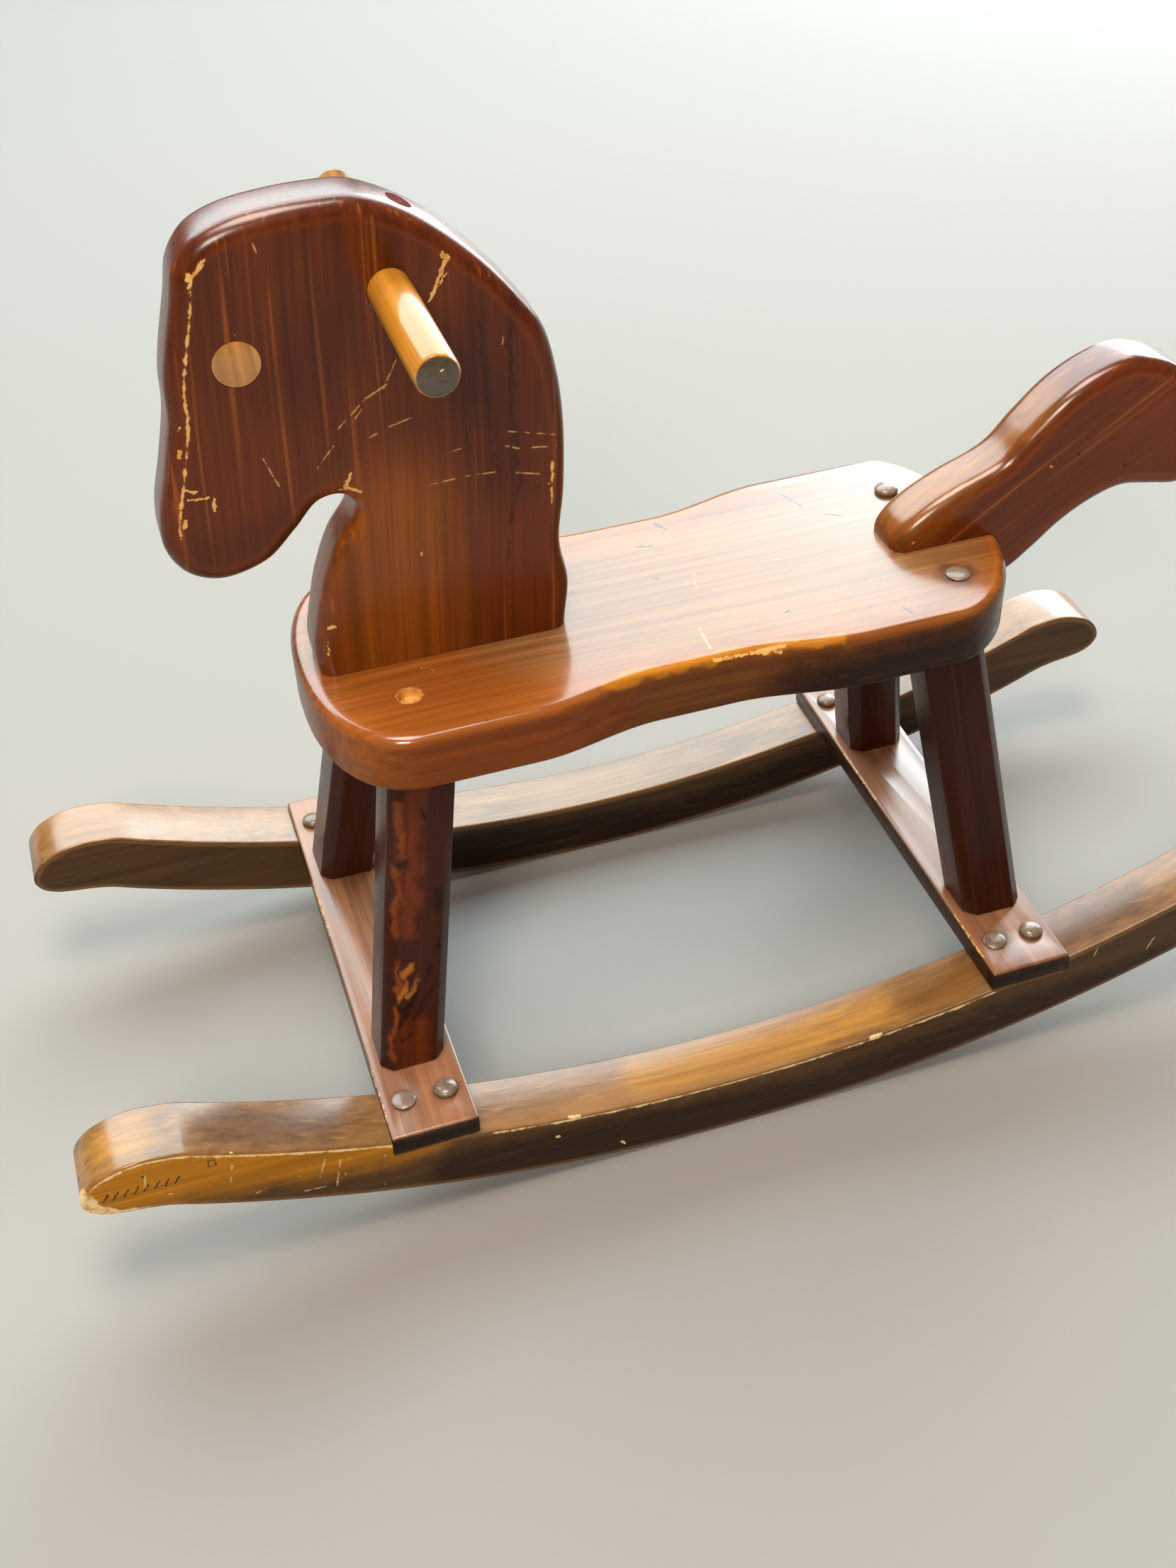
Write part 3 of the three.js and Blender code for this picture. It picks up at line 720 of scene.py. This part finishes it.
def seat_side(side):
    """One side of the seat's outline, from the middle of its front to the middle of its rear."""
    low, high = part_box("seat")
    length = high.x - low.x
    front_half, waist = 92.5 * MM, 80.3 * MM
    rear_half = (91 if side < 0 else 95) * MM
    rear_rounding = (62 if side < 0 else 42) * MM

    def corner(half, rounding, fullness, steps=28):
        for k in range(steps + 1):
            turn = k / steps * math.pi / 2
            along = rounding * (1 - max(math.cos(turn), 0) ** (2 / fullness))
            yield along, half * math.sin(turn) ** (2 / fullness)

    def blend(start, end, first, last, steps=24):
        for k in range(steps + 1):
            t = k / steps
            yield low.x + length * (start + (end - start) * t), first + (last - first) * t * t * (3 - 2 * t)

    points = [(low.x + along, y) for along, y in corner(front_half, 58 * MM, 2.3)]
    points += blend(0.27, 0.44, front_half, waist)
    points += blend(0.55, 0.73, waist, rear_half)
    points += [(high.x - along, y) for along, y in corner(rear_half, rear_rounding, 1.9)][::-1]
    return [Vector((x, side * y)) for x, y in points]


def seat_board(name, sizes, growth=0.0):
    low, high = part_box("seat")
    left, right = seat_side(-1), seat_side(1)
    outline = left + right[1:-1][::-1]
    seat = board(name, inset(outline, -growth), high.z - low.z + 2 * growth,
                 3.5 * MM, sizes.seat_rounding + growth, standing=False)
    seat.data.transform(Matrix.Translation((0, 0, low.z - growth)))
    return seat


class ROCKINGHORSE_OT_seat(Operator):
    """Makes the waisted seat with its four plug holes, one of them empty"""
    bl_idname = "rockinghorse.seat"
    bl_label = "Seat"

    def execute(self, context):
        sizes = context.scene.rocking_horse_sizes
        colours = context.scene.rocking_horse_colours
        seat = seat_board("seat_board", sizes)
        places = []
        for node in ("seat_button_front_right", "seat_button_rear_left", "seat_button_rear_right"):
            a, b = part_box(node)
            places.append(Vector(((a.x + b.x) / 2, (a.y + b.y) / 2, SEAT_TOP)))
        empty = Vector((places[0].x, -places[0].y, SEAT_TOP))
        cut(seat, *(bore_cutter(14.2 * MM, 12 * MM, place) for place in (*places, empty)))
        z = SEAT_TOP / MM
        x, y = empty.x / MM, empty.y / MM
        rim = [(p.x / MM, p.y / MM + 4) for p in seat_side(-1) if -60 * MM < p.x < 112 * MM][::6]
        # Darker rings round the plugs are grime and painted shade.
        grime_and_painted_shade = [spot(p.x / MM, p.y / MM, z, 17) for p in places]
        # Painted shade on the rear of the seat's sides and on its rear end.
        rear_side_painted_shade = [((60, -100, 285), (225, -95, 290), 40), ((225, -95, 290), (240, 60, 290), 50)]
        # Wide pine board under an orange-brown stain, worn by riding: broad flame-like year rings, a
        # glossy top with a painted reflection as its paler middle, honey-coloured rims, small dents, a
        # chipped waist, painted light on the front of its sides, painted shade on their rear and grime
        # with painted shade round the plugs.
        material = stained_pine(
            "Orange-brown stained pine, worn varnish", colours.seat, colours.bare, (0, 90, 0), 23.0,
            lines=0.25, line_tint=0xE09A45, veins=0.5, rings=0.35, pith=(30, 45, 0), ring=9,
            # The orange on the front of the sides is painted light.
            side_tints=[(0x8A3C0A, 0.7, 0.8, [((-160, -93, 300), (-70, -93, 300), 50)]),
                        (0x240C06, 0.95, 0.7, rear_side_painted_shade)],
            tints=[(0xC8702C, 0.6, 0.8, on_top(z, (85, (-215, -60), (-110, -60)))),
                   # The pale beige middle of the top is a painted reflection.
                   (0xA8865E, 0.5, 0.5, on_top(z, (85, (-60, 0), (150, 0)))),
                   (0xE08C18, 0.85, 0.6, on_top(z - 1, (5, *rim))),
                   (0x6A2A14, 0.6, 0.9, [((-225, -40, 300), (-225, 60, 300), 30)]),
                   (0x3C1A0E, 0.6, 0.5, grime_and_painted_shade)],
            chips=[((x, y, 308), (x, y, z - 3), 10.5), *on_side(-84, (2.4, (-9, 318), (-5, 316))),
                   *on_side(-83, (3.4, (11, 319), (22, 320), (30, 319))),
                   *on_side(-82, (2.6, (36, 318), (41, 317))), *on_side(-83, (1.8, (44, 318), (49, 316))),
                   *on_top(z - 2, (1.8, (9, -79), (30, -80), (52, -80)))],
            scratches=[*on_top(z, (1.3, (11, -48), (10, -69)), (2.2, (-154, -28), (-150, -33)),
                               (0.9, (28, 7), (24, -9)), (0.8, (79, 5), (84, 2)),
                               (0.8, (88, -36), (94, -34))),
                       *on_side(-88, (1.0, (83, 304), (100, 303))),
                       *on_top(z - 1, (1.6, (52, -79), (82, -82), (105, -84)))],
            nicks=on_top(z, (1.0, (114, 73), (121, 53)), (1.0, (130, 41), (141, 34)),
                         (1.2, (24, 69), (29, 60)), (1.1, (5, 47), (14, 45)), (1.2, (133, -72), (136, -79)),
                         (0.9, (2, 11), (6, 9)), (0.9, (65, -52), (68, -50))),
            rim_glow=0.3, rim_wear=0.1, pits=0.8, side=0.5, coat=1.0, side_coat=0.1, coat_roughness=0.15)
        finished(seat, material, "seat_wood", "seat")
        return {"FINISHED"}


def rocker_outline(sizes):
    """The rocker's side view: two arcs round one centre and a flattened nose at each end."""
    radius, depth = sizes.rocker_radius, sizes.rocker_depth
    arc_end, nose, steps = 350 * MM, 64.5 * MM, 84
    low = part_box("rocker_left")[0].z

    def drop(r, x):
        return r - math.sqrt(r * r - x * x)

    xs = [-arc_end + 2 * arc_end * k / steps for k in range(steps + 1)]
    bottom = [Vector((x, low + drop(radius, x))) for x in xs]
    top = [Vector((-x, low + depth + drop(radius - depth, x))) for x in xs]
    nose_points = [bottom[-2], bottom[-1]]
    nose_points += [Vector((arc_end + x * nose, bottom[-1].y + z * depth)) for x, z in ROCKER_NOSE]
    nose_points += [top[0], top[1]]
    curve = smooth_line(nose_points, 6)[7:-7]
    mirrored = [Vector((-p.x, p.y)) for p in reversed(curve)]
    return bottom + curve + top + mirrored


class ROCKINGHORSE_OT_rockers(Operator):
    """Makes the two arched rockers, notched for the crossbars"""
    bl_idname = "rockinghorse.rockers"
    bl_label = "Rockers"

    def execute(self, context):
        sizes = context.scene.rocking_horse_sizes
        colours = context.scene.rocking_horse_colours
        y = ROCKER_FACE / MM
        rubs = on_side(y, (22, (-372, 122), (-310, 103), (-235, 80)),
                       (12, (-160, 60), (-80, 50), (60, 49), (170, 60)))
        chips = on_side(y, (2.0, (-118, 53), (-112, 52)), (1.8, (90, 49), (96, 50)),
                        (2.2, (-325, 107), (-306, 102)), (9, (-414, 100), (-410, 86), (-401, 79)),
                        (1.4, (-127, 38), (-126, 37)), (1.3, (-84, 15), (-82, 12)))
        hair = on_side(
            y, (1.0, (-375, 108), (-377, 96)), (1.0, (-325, 100), (-329, 80)), (0.9, (-286, 79), (-289, 68)),
            (0.9, (-272, 78), (-277, 62)), (1.1, (-263, 74), (-268, 50)), (0.9, (-258, 72), (-262, 58)),
            (0.9, (-252, 72), (-255, 60)), (0.9, (-236, 66), (-239, 44)), (1.3, (-325, 60), (-310, 66)),
            (1.0, (-288, 53), (-275, 52)), (1.0, (-359, 84), (-369, 84)), (0.9, (-239, 38), (-239, 42)),
            (1.0, (252, 78), (250, 70)), (1.0, (296, 74), (290, 60)))
        # A row of plain short strokes, no letters, a small square dent and a dark tip
        strokes = on_side(y, *((0.9, (x, 93), (x + 3.5, 98)) for x in range(-402, -357, 6)))
        strokes += on_side(y, (0.7, (-339, 104), (-335, 104), (-335, 99), (-339, 99), (-339, 104)),
                           (1.1, (-377, 106), (-376, 105)))
        strokes.append(((-414, -150, 95), (-413, -148, 112), 2.2))
        honey_nose = on_side(y, (52, (-412, 112), (-335, 112), (-255, 100), (-222, 96)))
        honey_top = [((-420, -145, 125), (-385, -145, 128), 30), ((-60, -145, 46), (160, -145, 60), 24)]
        brown_top = [((-320, -145, 112), (-270, -145, 96), 30), ((130, -145, 60), (280, -145, 95), 30)]
        # A run low along the near rocker's side, partly darker stain and partly painted shade.
        low_stain_and_painted_shade = (30, (-190, 30), (60, 5), (300, 40))
        marked = dict(
            side_tints=[(0xDC8E12, 0.95, 0.5, honey_nose), (0x2E1809, 0.85, 0.6, on_side(y, low_stain_and_painted_shade))],
            tints=[(0xD9993F, 0.8, 0.7, honey_top), (0x5A3420, 0.6, 0.8, brown_top)],
            rubs=[((-397, y, 98), (-400, y, 100), 48), *rubs], chips=chips, scratches=hair, nicks=strokes)
        plain = dict(
            # The far rocker's inner face gets painted shade under the seat along the same run.
            side_tints=[(0x241208, 0.9, 0.6, on_side(124, (34, *low_stain_and_painted_shade[1:])))],
            tints=[(0xB5762A, 0.8, 0.8, [((-425, 145, 120), (-395, 145, 126), 26)])])
        for side, wear, seed, extra in (("left", "worn", 31.0, marked), ("right", "sound", 38.0, plain)):
            node = "rocker_" + side
            low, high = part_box(node)
            rocker = board(node + "_board", rocker_outline(sizes), high.y - low.y,
                           sizes.rocker_rounding, sizes.rocker_rounding)
            rocker.data.transform(Matrix.Translation((0, (low.y + high.y) / 2, 0)))
            notches = []
            for end in ("front", "rear"):
                a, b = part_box("crossbar_" + end)
                gap = Vector((FIT, 10 * MM, FIT))
                notches.append(block_cutter(a - gap, b + gap + Vector((0, 0, 0.1))))
            cut(rocker, *notches)
            # Pine under thin brown stain, rubbed by feet and floors: a honey-coloured nose, dark
            # middles that are partly darker stain and partly painted shade, glossy tops, pale bare edges and
            # hair-fine scratches across the grain.
            material = stained_pine(
                f"Brown stained pine, {wear} varnish", colours.rocker, colours.rubbed, (0, 90, 0), seed,
                lines=0.35, line_tint=0xD9A04F, veins=0.4, rings=0.12, pith=(10, 150, 0), ring=8,
                rim_glow=0.3, rim_wear=0.06, pits=0.5, side=0.28, coat=1.0, side_coat=0.1,
                coat_roughness=0.2, **extra)
            finished(rocker, material, "rocker_wood", node)
        return {"FINISHED"}


class ROCKINGHORSE_OT_crossbars(Operator):
    """Makes the two crossbars that join the rockers"""
    bl_idname = "rockinghorse.crossbars"
    bl_label = "Crossbars"

    def execute(self, context):
        sizes = context.scene.rocking_horse_sizes
        colours = context.scene.rocking_horse_colours
        nodes = ("crossbar_front", "crossbar_rear")
        # Darker rings round the buttons are grime and painted shade.
        grime_and_painted_shade, edges, ends = [], [], []
        for node in nodes:
            a, b = (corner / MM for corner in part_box(node))
            ends += [((a.x, y, a.z + 3), (b.x, y, a.z + 3), 12) for y in (a.y, b.y)]
            edges += [((a.x, -150, b.z), (a.x, -105, b.z), 1.3), ((a.x, 20, b.z), (a.x, 75, b.z), 1.4)]
        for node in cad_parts:
            if node.startswith("bar_button"):
                middle = halfway(node) / MM
                grime_and_painted_shade.append(spot(middle.x, middle.y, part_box(nodes[0])[1].z / MM, 11.5))
        # Pine slats with a thin copper-brown stain: a glossy top with faint grain and dents, grime
        # and painted shade round the buttons, dark end grain and a few bare stretches of edge.
        material = stained_pine(
            "Copper-brown stained pine, thin varnish", colours.bar, colours.bare, (90, 0, 0), 41.0,
            lines=0.15, veins=0.15, tints=[(0x1E0C07, 0.95, 0.5, ends), (0x4A2416, 0.6, 0.5, grime_and_painted_shade)],
            chips=edges, pits=0.5, side=0.15, coat=1.0, side_coat=0.1, coat_roughness=0.27)
        for node in nodes:
            finished(softened_copy(node + "_stick", node, sizes.stick_easing), material, "bar_wood", node)
        return {"FINISHED"}


class ROCKINGHORSE_OT_legs(Operator):
    """Makes the four splayed legs"""
    bl_idname = "rockinghorse.legs"
    bl_label = "Legs"

    def execute(self, context):
        sizes = context.scene.rocking_horse_sizes
        colours = context.scene.rocking_horse_colours
        foot = Vector((-217, -113.4, 78.5))
        across_face, up_face = Vector((27.4, 0, 0)), Vector((33.5, 33.5, 203.2))

        def on_face(*lines):
            """Mark places on the front left leg's outer face. A line is a half-width in mm and
            points in shares of the face's width and height."""
            return [(*(tuple(foot + across_face * u + up_face * v) for u, v in ends), width)
                    for width, *points in lines for ends in zip(points, points[1:])]

        # Knotty pine with a fiery figure on the one face that is seen closely
        figured = dict(
            rings=0.35, pith=(180, 90, 0), ring=11, side=0.75, drift=4.0,
            tints=[(0x8E4014, 0.6, 0.9, on_face((15, (0.5, 0.0), (0.5, 0.14)),
                                                (9, (0.3, 0.95), (0.25, 0.5)))),
                   # The orange strip along the face's left edge is a painted highlight on the chamfer.
                   (0xB4581A, 0.7, 0.9, on_face((5, (-0.02, 0.93), (-0.05, 0.5)),
                                                (3.5, (0.0, 0.4), (0.0, 0.05)))),
                   (0xD67E34, 0.9, 0.7, on_face((4.5, (0.1, 0.26), (0.28, 0.38)),
                                                (4, (0.34, 0.26), (0.5, 0.32)))),
                   (0x1E0709, 0.8, 0.9, on_face((7, (0.9, 0.6), (0.95, 0.56)), (4, (0.2, 0.22), (0.35, 0.2)),
                                                (3, (0.1, 0.16), (0.5, 0.25), (0.97, 0.44)),
                                                (2.5, (0.3, 0.11), (0.95, 0.3))))],
            nicks=on_face((1.2, (0.45, 0.9), (0.55, 0.86))))
        splay = 9.4
        for end, lean_x in (("front", -splay), ("rear", splay)):
            for side, lean_y in (("left", splay), ("right", -splay)):
                node = f"leg_{end}_{side}"
                look = dict(lines=0.2, line_tint=0x8A4A22, side_coat=0.15, coat_roughness=0.18)
                look.update(figured if node == "leg_front_left" else {})
                # Square pine sticks in the darkest stain: nearly black lines up the splay, with dull
                # sides and sanded edges that catch the light.
                material = stained_pine(
                    f"Dark red-brown stained pine, {end} {side} leg", colours.leg, colours.bare,
                    (lean_y, lean_x, 0), 53.0 + 4 * len(node) + lean_x, **look)
                stick = softened_copy(node + "_stick", node, sizes.stick_easing)
                finished(stick, material, "leg_wood", node)
        return {"FINISHED"}


class ROCKINGHORSE_OT_dowels(Operator):
    """Makes the handle through the head and the eye"""
    bl_idname = "rockinghorse.dowels"
    bl_label = "Handle and Eye"

    def execute(self, context):
        for node, name, chamfer, slot, stain, turn in (
                ("handle_dowel", "Clear varnished birch dowel", 2.4, "dowel_wood", 0xD48C2A, (90, 0, 0)),
                ("eye_dowel", "Clear varnished birch, end grain", 0.3, "eye_wood", 0xDC9648, (0, 4, 0))):
            low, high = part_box(node)
            r, half, c = (high.x - low.x) / 2, (high.y - low.y) / 2, chamfer * MM
            profile = [(0, -half), (r - c, -half), (r - 0.35 * c, -half + 0.3 * c), (r, -half + c),
                       (r, half - c), (r - 0.35 * c, half - 0.3 * c), (r - c, half), (0, half)]
            dowel = lathe(node + "_turned", profile, 64)
            middle = halfway(node)
            dowel.data.transform(Matrix.Translation(middle) @ Matrix.Rotation(math.pi / 2, 4, "X"))
            x, z = middle.x / MM, middle.z / MM
            tints, chips = [], []
            if node == "handle_dowel":
                near, far = -half / MM, half / MM
                tints = [(0x5E4E3A, 1.0, 0.1, [spot(x, y, z, r / MM - 0.6) for y in (near, far)])]
                chips = [spot(x + 2, near, z + 3, 0.8)]
            # Birch under clear varnish: smooth and golden with faint lines, and greyed end grain
            # where the handle is cut.
            material = stained_pine(
                name, stain, 0xFFE7B0, turn, 61.0, lines=0.25, line_tint=0xF6C869, veins=0.25,
                tints=tints, drift=0.0, chips=chips, side=1.0, specular=0.3, coat=0.8, side_coat=1.0,
                coat_roughness=0.1)
            finished(dowel, material, slot, node)
        return {"FINISHED"}


def plug_tree():
    """Geometry Nodes tree that sets one button on each point, turned by a fixed seed."""
    tree = bpy.data.node_groups.new("Plugs on points", "GeometryNodeTree")
    for name, kind in (("Geometry", "Geometry"), ("Button", "Object"), ("Tilt", "Float"),
                       ("Seed", "Int"), ("Material", "Material")):
        tree.interface.new_socket(name, in_out="INPUT", socket_type="NodeSocket" + kind)
    tree.interface.new_socket("Geometry", in_out="OUTPUT", socket_type="NodeSocketGeometry")
    given = add(tree, "NodeGroupInput").outputs
    button = add(tree, "GeometryNodeObjectInfo", {"Object": given["Button"]})
    reach = add(tree, "ShaderNodeCombineXYZ", given["Tilt"], given["Tilt"], math.pi)
    back = add(tree, "ShaderNodeVectorMath", reach, (-1, -1, -1), operation="MULTIPLY")
    lean = add(tree, "FunctionNodeRandomValue", {0: back, 1: reach, "Seed": given["Seed"]},
               data_type="FLOAT_VECTOR")
    turn = add(tree, "FunctionNodeEulerToRotation", lean)
    copies = add(tree, "GeometryNodeInstanceOnPoints",
                 {"Points": given["Geometry"], "Instance": button.outputs["Geometry"], "Rotation": turn})
    real = add(tree, "GeometryNodeRealizeInstances", {"Geometry": copies})
    painted = add(tree, "GeometryNodeSetMaterial", {"Geometry": real, "Material": given["Material"]})
    add(tree, "NodeGroupOutput", painted)
    return tree


def buttons(name, nodes, material, tree):
    """The buttons of one height, each on the wood where its CAD node stands."""
    low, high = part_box(nodes[0])
    rim, shank = (high.x - low.x) / 2, PLUG_DIAMETER / 2
    foot = 5.7 * MM
    height = high.z - low.z - foot
    dome = [(rim * math.cos(t), 0.3 * height + 0.7 * height * math.sin(t))
            for t in (math.pi / 2 * k / 7 for k in range(7))]
    profile = [(0, -foot), (shank, -foot), (shank, FIT), (rim * 0.97, FIT), *dome, (0, height)]
    shape = lathe(name + " shape", profile, 32)
    points = bpy.data.meshes.new(name)
    points.from_pydata([(*halfway(node).xy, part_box(node)[0].z + foot) for node in nodes], [], [])
    piece = placed(name, points)
    modifier = piece.modifiers.new("Plugs", "NODES")
    modifier.node_group = tree
    inputs = {item.name: item.identifier for item in tree.interface.items_tree if item.in_out == "INPUT"}
    modifier[inputs["Button"]] = shape
    modifier[inputs["Tilt"]] = math.radians(2.5)
    modifier[inputs["Seed"]] = len(nodes)
    modifier[inputs["Material"]] = material
    settled(piece)
    bpy.data.objects.remove(shape)
    return finished(piece, material, "plug_wood", *nodes)


class ROCKINGHORSE_OT_plugs(Operator):
    """Makes the buttons over the screws and the flush plug in the mane"""
    bl_idname = "rockinghorse.plugs"
    bl_label = "Plugs"

    def execute(self, context):
        sizes = context.scene.rocking_horse_sizes
        # Birch buttons that hands have greyed: dull brown-grey with a rubbed shine on the dome
        grey = stained_pine(
            "Greyed birch button, rubbed varnish", 0x99806A, 0xC9B08A, (0, 0, 0), 71.0,
            line_tint=0xB49A78, veins=0.2, side=0.8, roughness=0.35, coat=0.9, coat_roughness=0.2)
        tree = plug_tree()
        nodes = sorted(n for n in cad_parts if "button" in n)
        worn_height = 9 * MM
        flat = [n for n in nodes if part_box(n)[1].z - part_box(n)[0].z < worn_height]
        buttons("worn_buttons", flat, grey, tree)
        buttons("domed_buttons", [n for n in nodes if n not in flat], grey, tree)
        # End grain that drank the stain: dark red and without shine
        flush = stained_pine("Flush pine plug, dull dark stain", 0x6E1E12, 0xC9B08A, (0, 0, 0), 73.0,
                             roughness=0.7, specular=0.05, coat=0.0)
        plug = head_board("mane_plug_flush", sizes)
        cut(plug, plug_cutter(0), operation="INTERSECT")
        finished(plug, flush, "leg_wood", "mane_plug")
        return {"FINISHED"}


class ROCKINGHORSE_OT_stage(Operator):
    """Makes the floor, the lights and the camera"""
    bl_idname = "rockinghorse.stage"
    bl_label = "Stage"

    def execute(self, context):
        mesh = bpy.data.meshes.new("floor")
        mesh.from_pydata([(-6, -4, 0), (6, -4, 0), (6, 8, 0), (-6, 8, 0)], [], [(0, 1, 2, 3)])
        floor = placed("floor", mesh)
        # Matt paint on boards: an even pale ground with next to no shine
        paint = bpy.data.materials.new("Pale matt floor")
        paint.use_nodes = True
        shader = paint.node_tree.nodes["Principled BSDF"]
        shader.inputs["Base Color"].default_value = linear(0xA9A59F)
        shader.inputs["Roughness"].default_value = 0.9
        shader.inputs["Specular IOR Level"].default_value = 0.1
        mesh.materials.append(paint)

        world = bpy.data.worlds.new("Soft room light")
        world.use_nodes = True
        world.node_tree.nodes["Background"].inputs["Color"].default_value = linear(0xE8EBF0)
        world.node_tree.nodes["Background"].inputs["Strength"].default_value = 0.15
        context.scene.world = world
        aim = Vector((0, 0, 0.3))
        for name, place, size, watts, tint in (
                ("Window behind", (0.1, 2.9, 3.2), (5.7, 3.2), 300, 0xDCEEF2),
                ("Low window behind", (2.3, 2.3, 1.2), (2.4, 1.8), 100, 0xE6F0F4),
                ("Ceiling", (-0.4, -0.3, 2.9), (1.2, 1.2), 50, 0xFFF0E2),
                ("Room light in front", (-1.2, -2.4, 2.4), (0.8, 0.8), 50, 0xFFF4E8)):
            light = bpy.data.lights.new(name, "AREA")
            light.color = linear(tint)[:3]
            light.shape = "RECTANGLE"
            light.size, light.size_y = size
            light.energy = watts
            lamp = bpy.data.objects.new(name, light)
            lamp.location = place
            lamp.rotation_euler = (aim - Vector(place)).to_track_quat("-Z", "Y").to_euler()
            context.scene.collection.objects.link(lamp)

        camera = bpy.data.cameras.new("camera")
        camera.lens = 42.46
        camera.sensor_width = 36
        eye = bpy.data.objects.new("camera", camera)
        yaw, pitch, roll = (math.radians(a) for a in (-16.624, -40.708, -2.316))
        forward = Vector((-math.sin(yaw) * math.cos(pitch), math.cos(yaw) * math.cos(pitch), math.sin(pitch)))
        level = Vector((math.cos(yaw), math.sin(yaw), 0))
        upright = level.cross(forward)
        right = level * math.cos(roll) + upright * math.sin(roll)
        above = upright * math.cos(roll) - level * math.sin(roll)
        turn = Matrix((right, above, -forward)).transposed()
        eye.matrix_world = Matrix.Translation((-0.3125, -0.8864, 0.9715)) @ turn.to_4x4()
        context.scene.collection.objects.link(eye)
        context.scene.camera = eye
        context.scene.view_settings.view_transform = "Standard"
        return {"FINISHED"}


PIECES = (
    ROCKINGHORSE_OT_seat,
    ROCKINGHORSE_OT_head,
    ROCKINGHORSE_OT_tail,
    ROCKINGHORSE_OT_rockers,
    ROCKINGHORSE_OT_crossbars,
    ROCKINGHORSE_OT_legs,
    ROCKINGHORSE_OT_dowels,
    ROCKINGHORSE_OT_plugs,
    ROCKINGHORSE_OT_stage,
)


class ROCKINGHORSE_PT_panel(Panel):
    """Sizes, colours and pieces of the rocking horse"""
    bl_idname = "ROCKINGHORSE_PT_panel"
    bl_label = "Rocking Horse"
    bl_space_type = "VIEW_3D"
    bl_region_type = "UI"
    bl_category = "Rocking Horse"

    def draw(self, context):
        layout = self.layout
        for group in (context.scene.rocking_horse_sizes, context.scene.rocking_horse_colours):
            column = layout.column(align=True)
            for name in group.__annotations__:
                column.prop(group, name)
        column = layout.column(align=True)
        for piece in PIECES:
            column.operator(piece.bl_idname)


CLASSES = (RockingHorseSizes, RockingHorseColours, *PIECES, ROCKINGHORSE_PT_panel)


def register():
    for made in CLASSES:
        bpy.utils.register_class(made)
    bpy.types.Scene.rocking_horse_sizes = PointerProperty(type=RockingHorseSizes)
    bpy.types.Scene.rocking_horse_colours = PointerProperty(type=RockingHorseColours)


def unregister():
    del bpy.types.Scene.rocking_horse_colours
    del bpy.types.Scene.rocking_horse_sizes
    for made in reversed(CLASSES):
        bpy.utils.unregister_class(made)


def main():
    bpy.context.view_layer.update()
    register()
    for piece in PIECES:
        operator = getattr(bpy.ops.rockinghorse, piece.bl_idname.split(".")[1])
        operator()


if __name__ == "__main__":
    main()
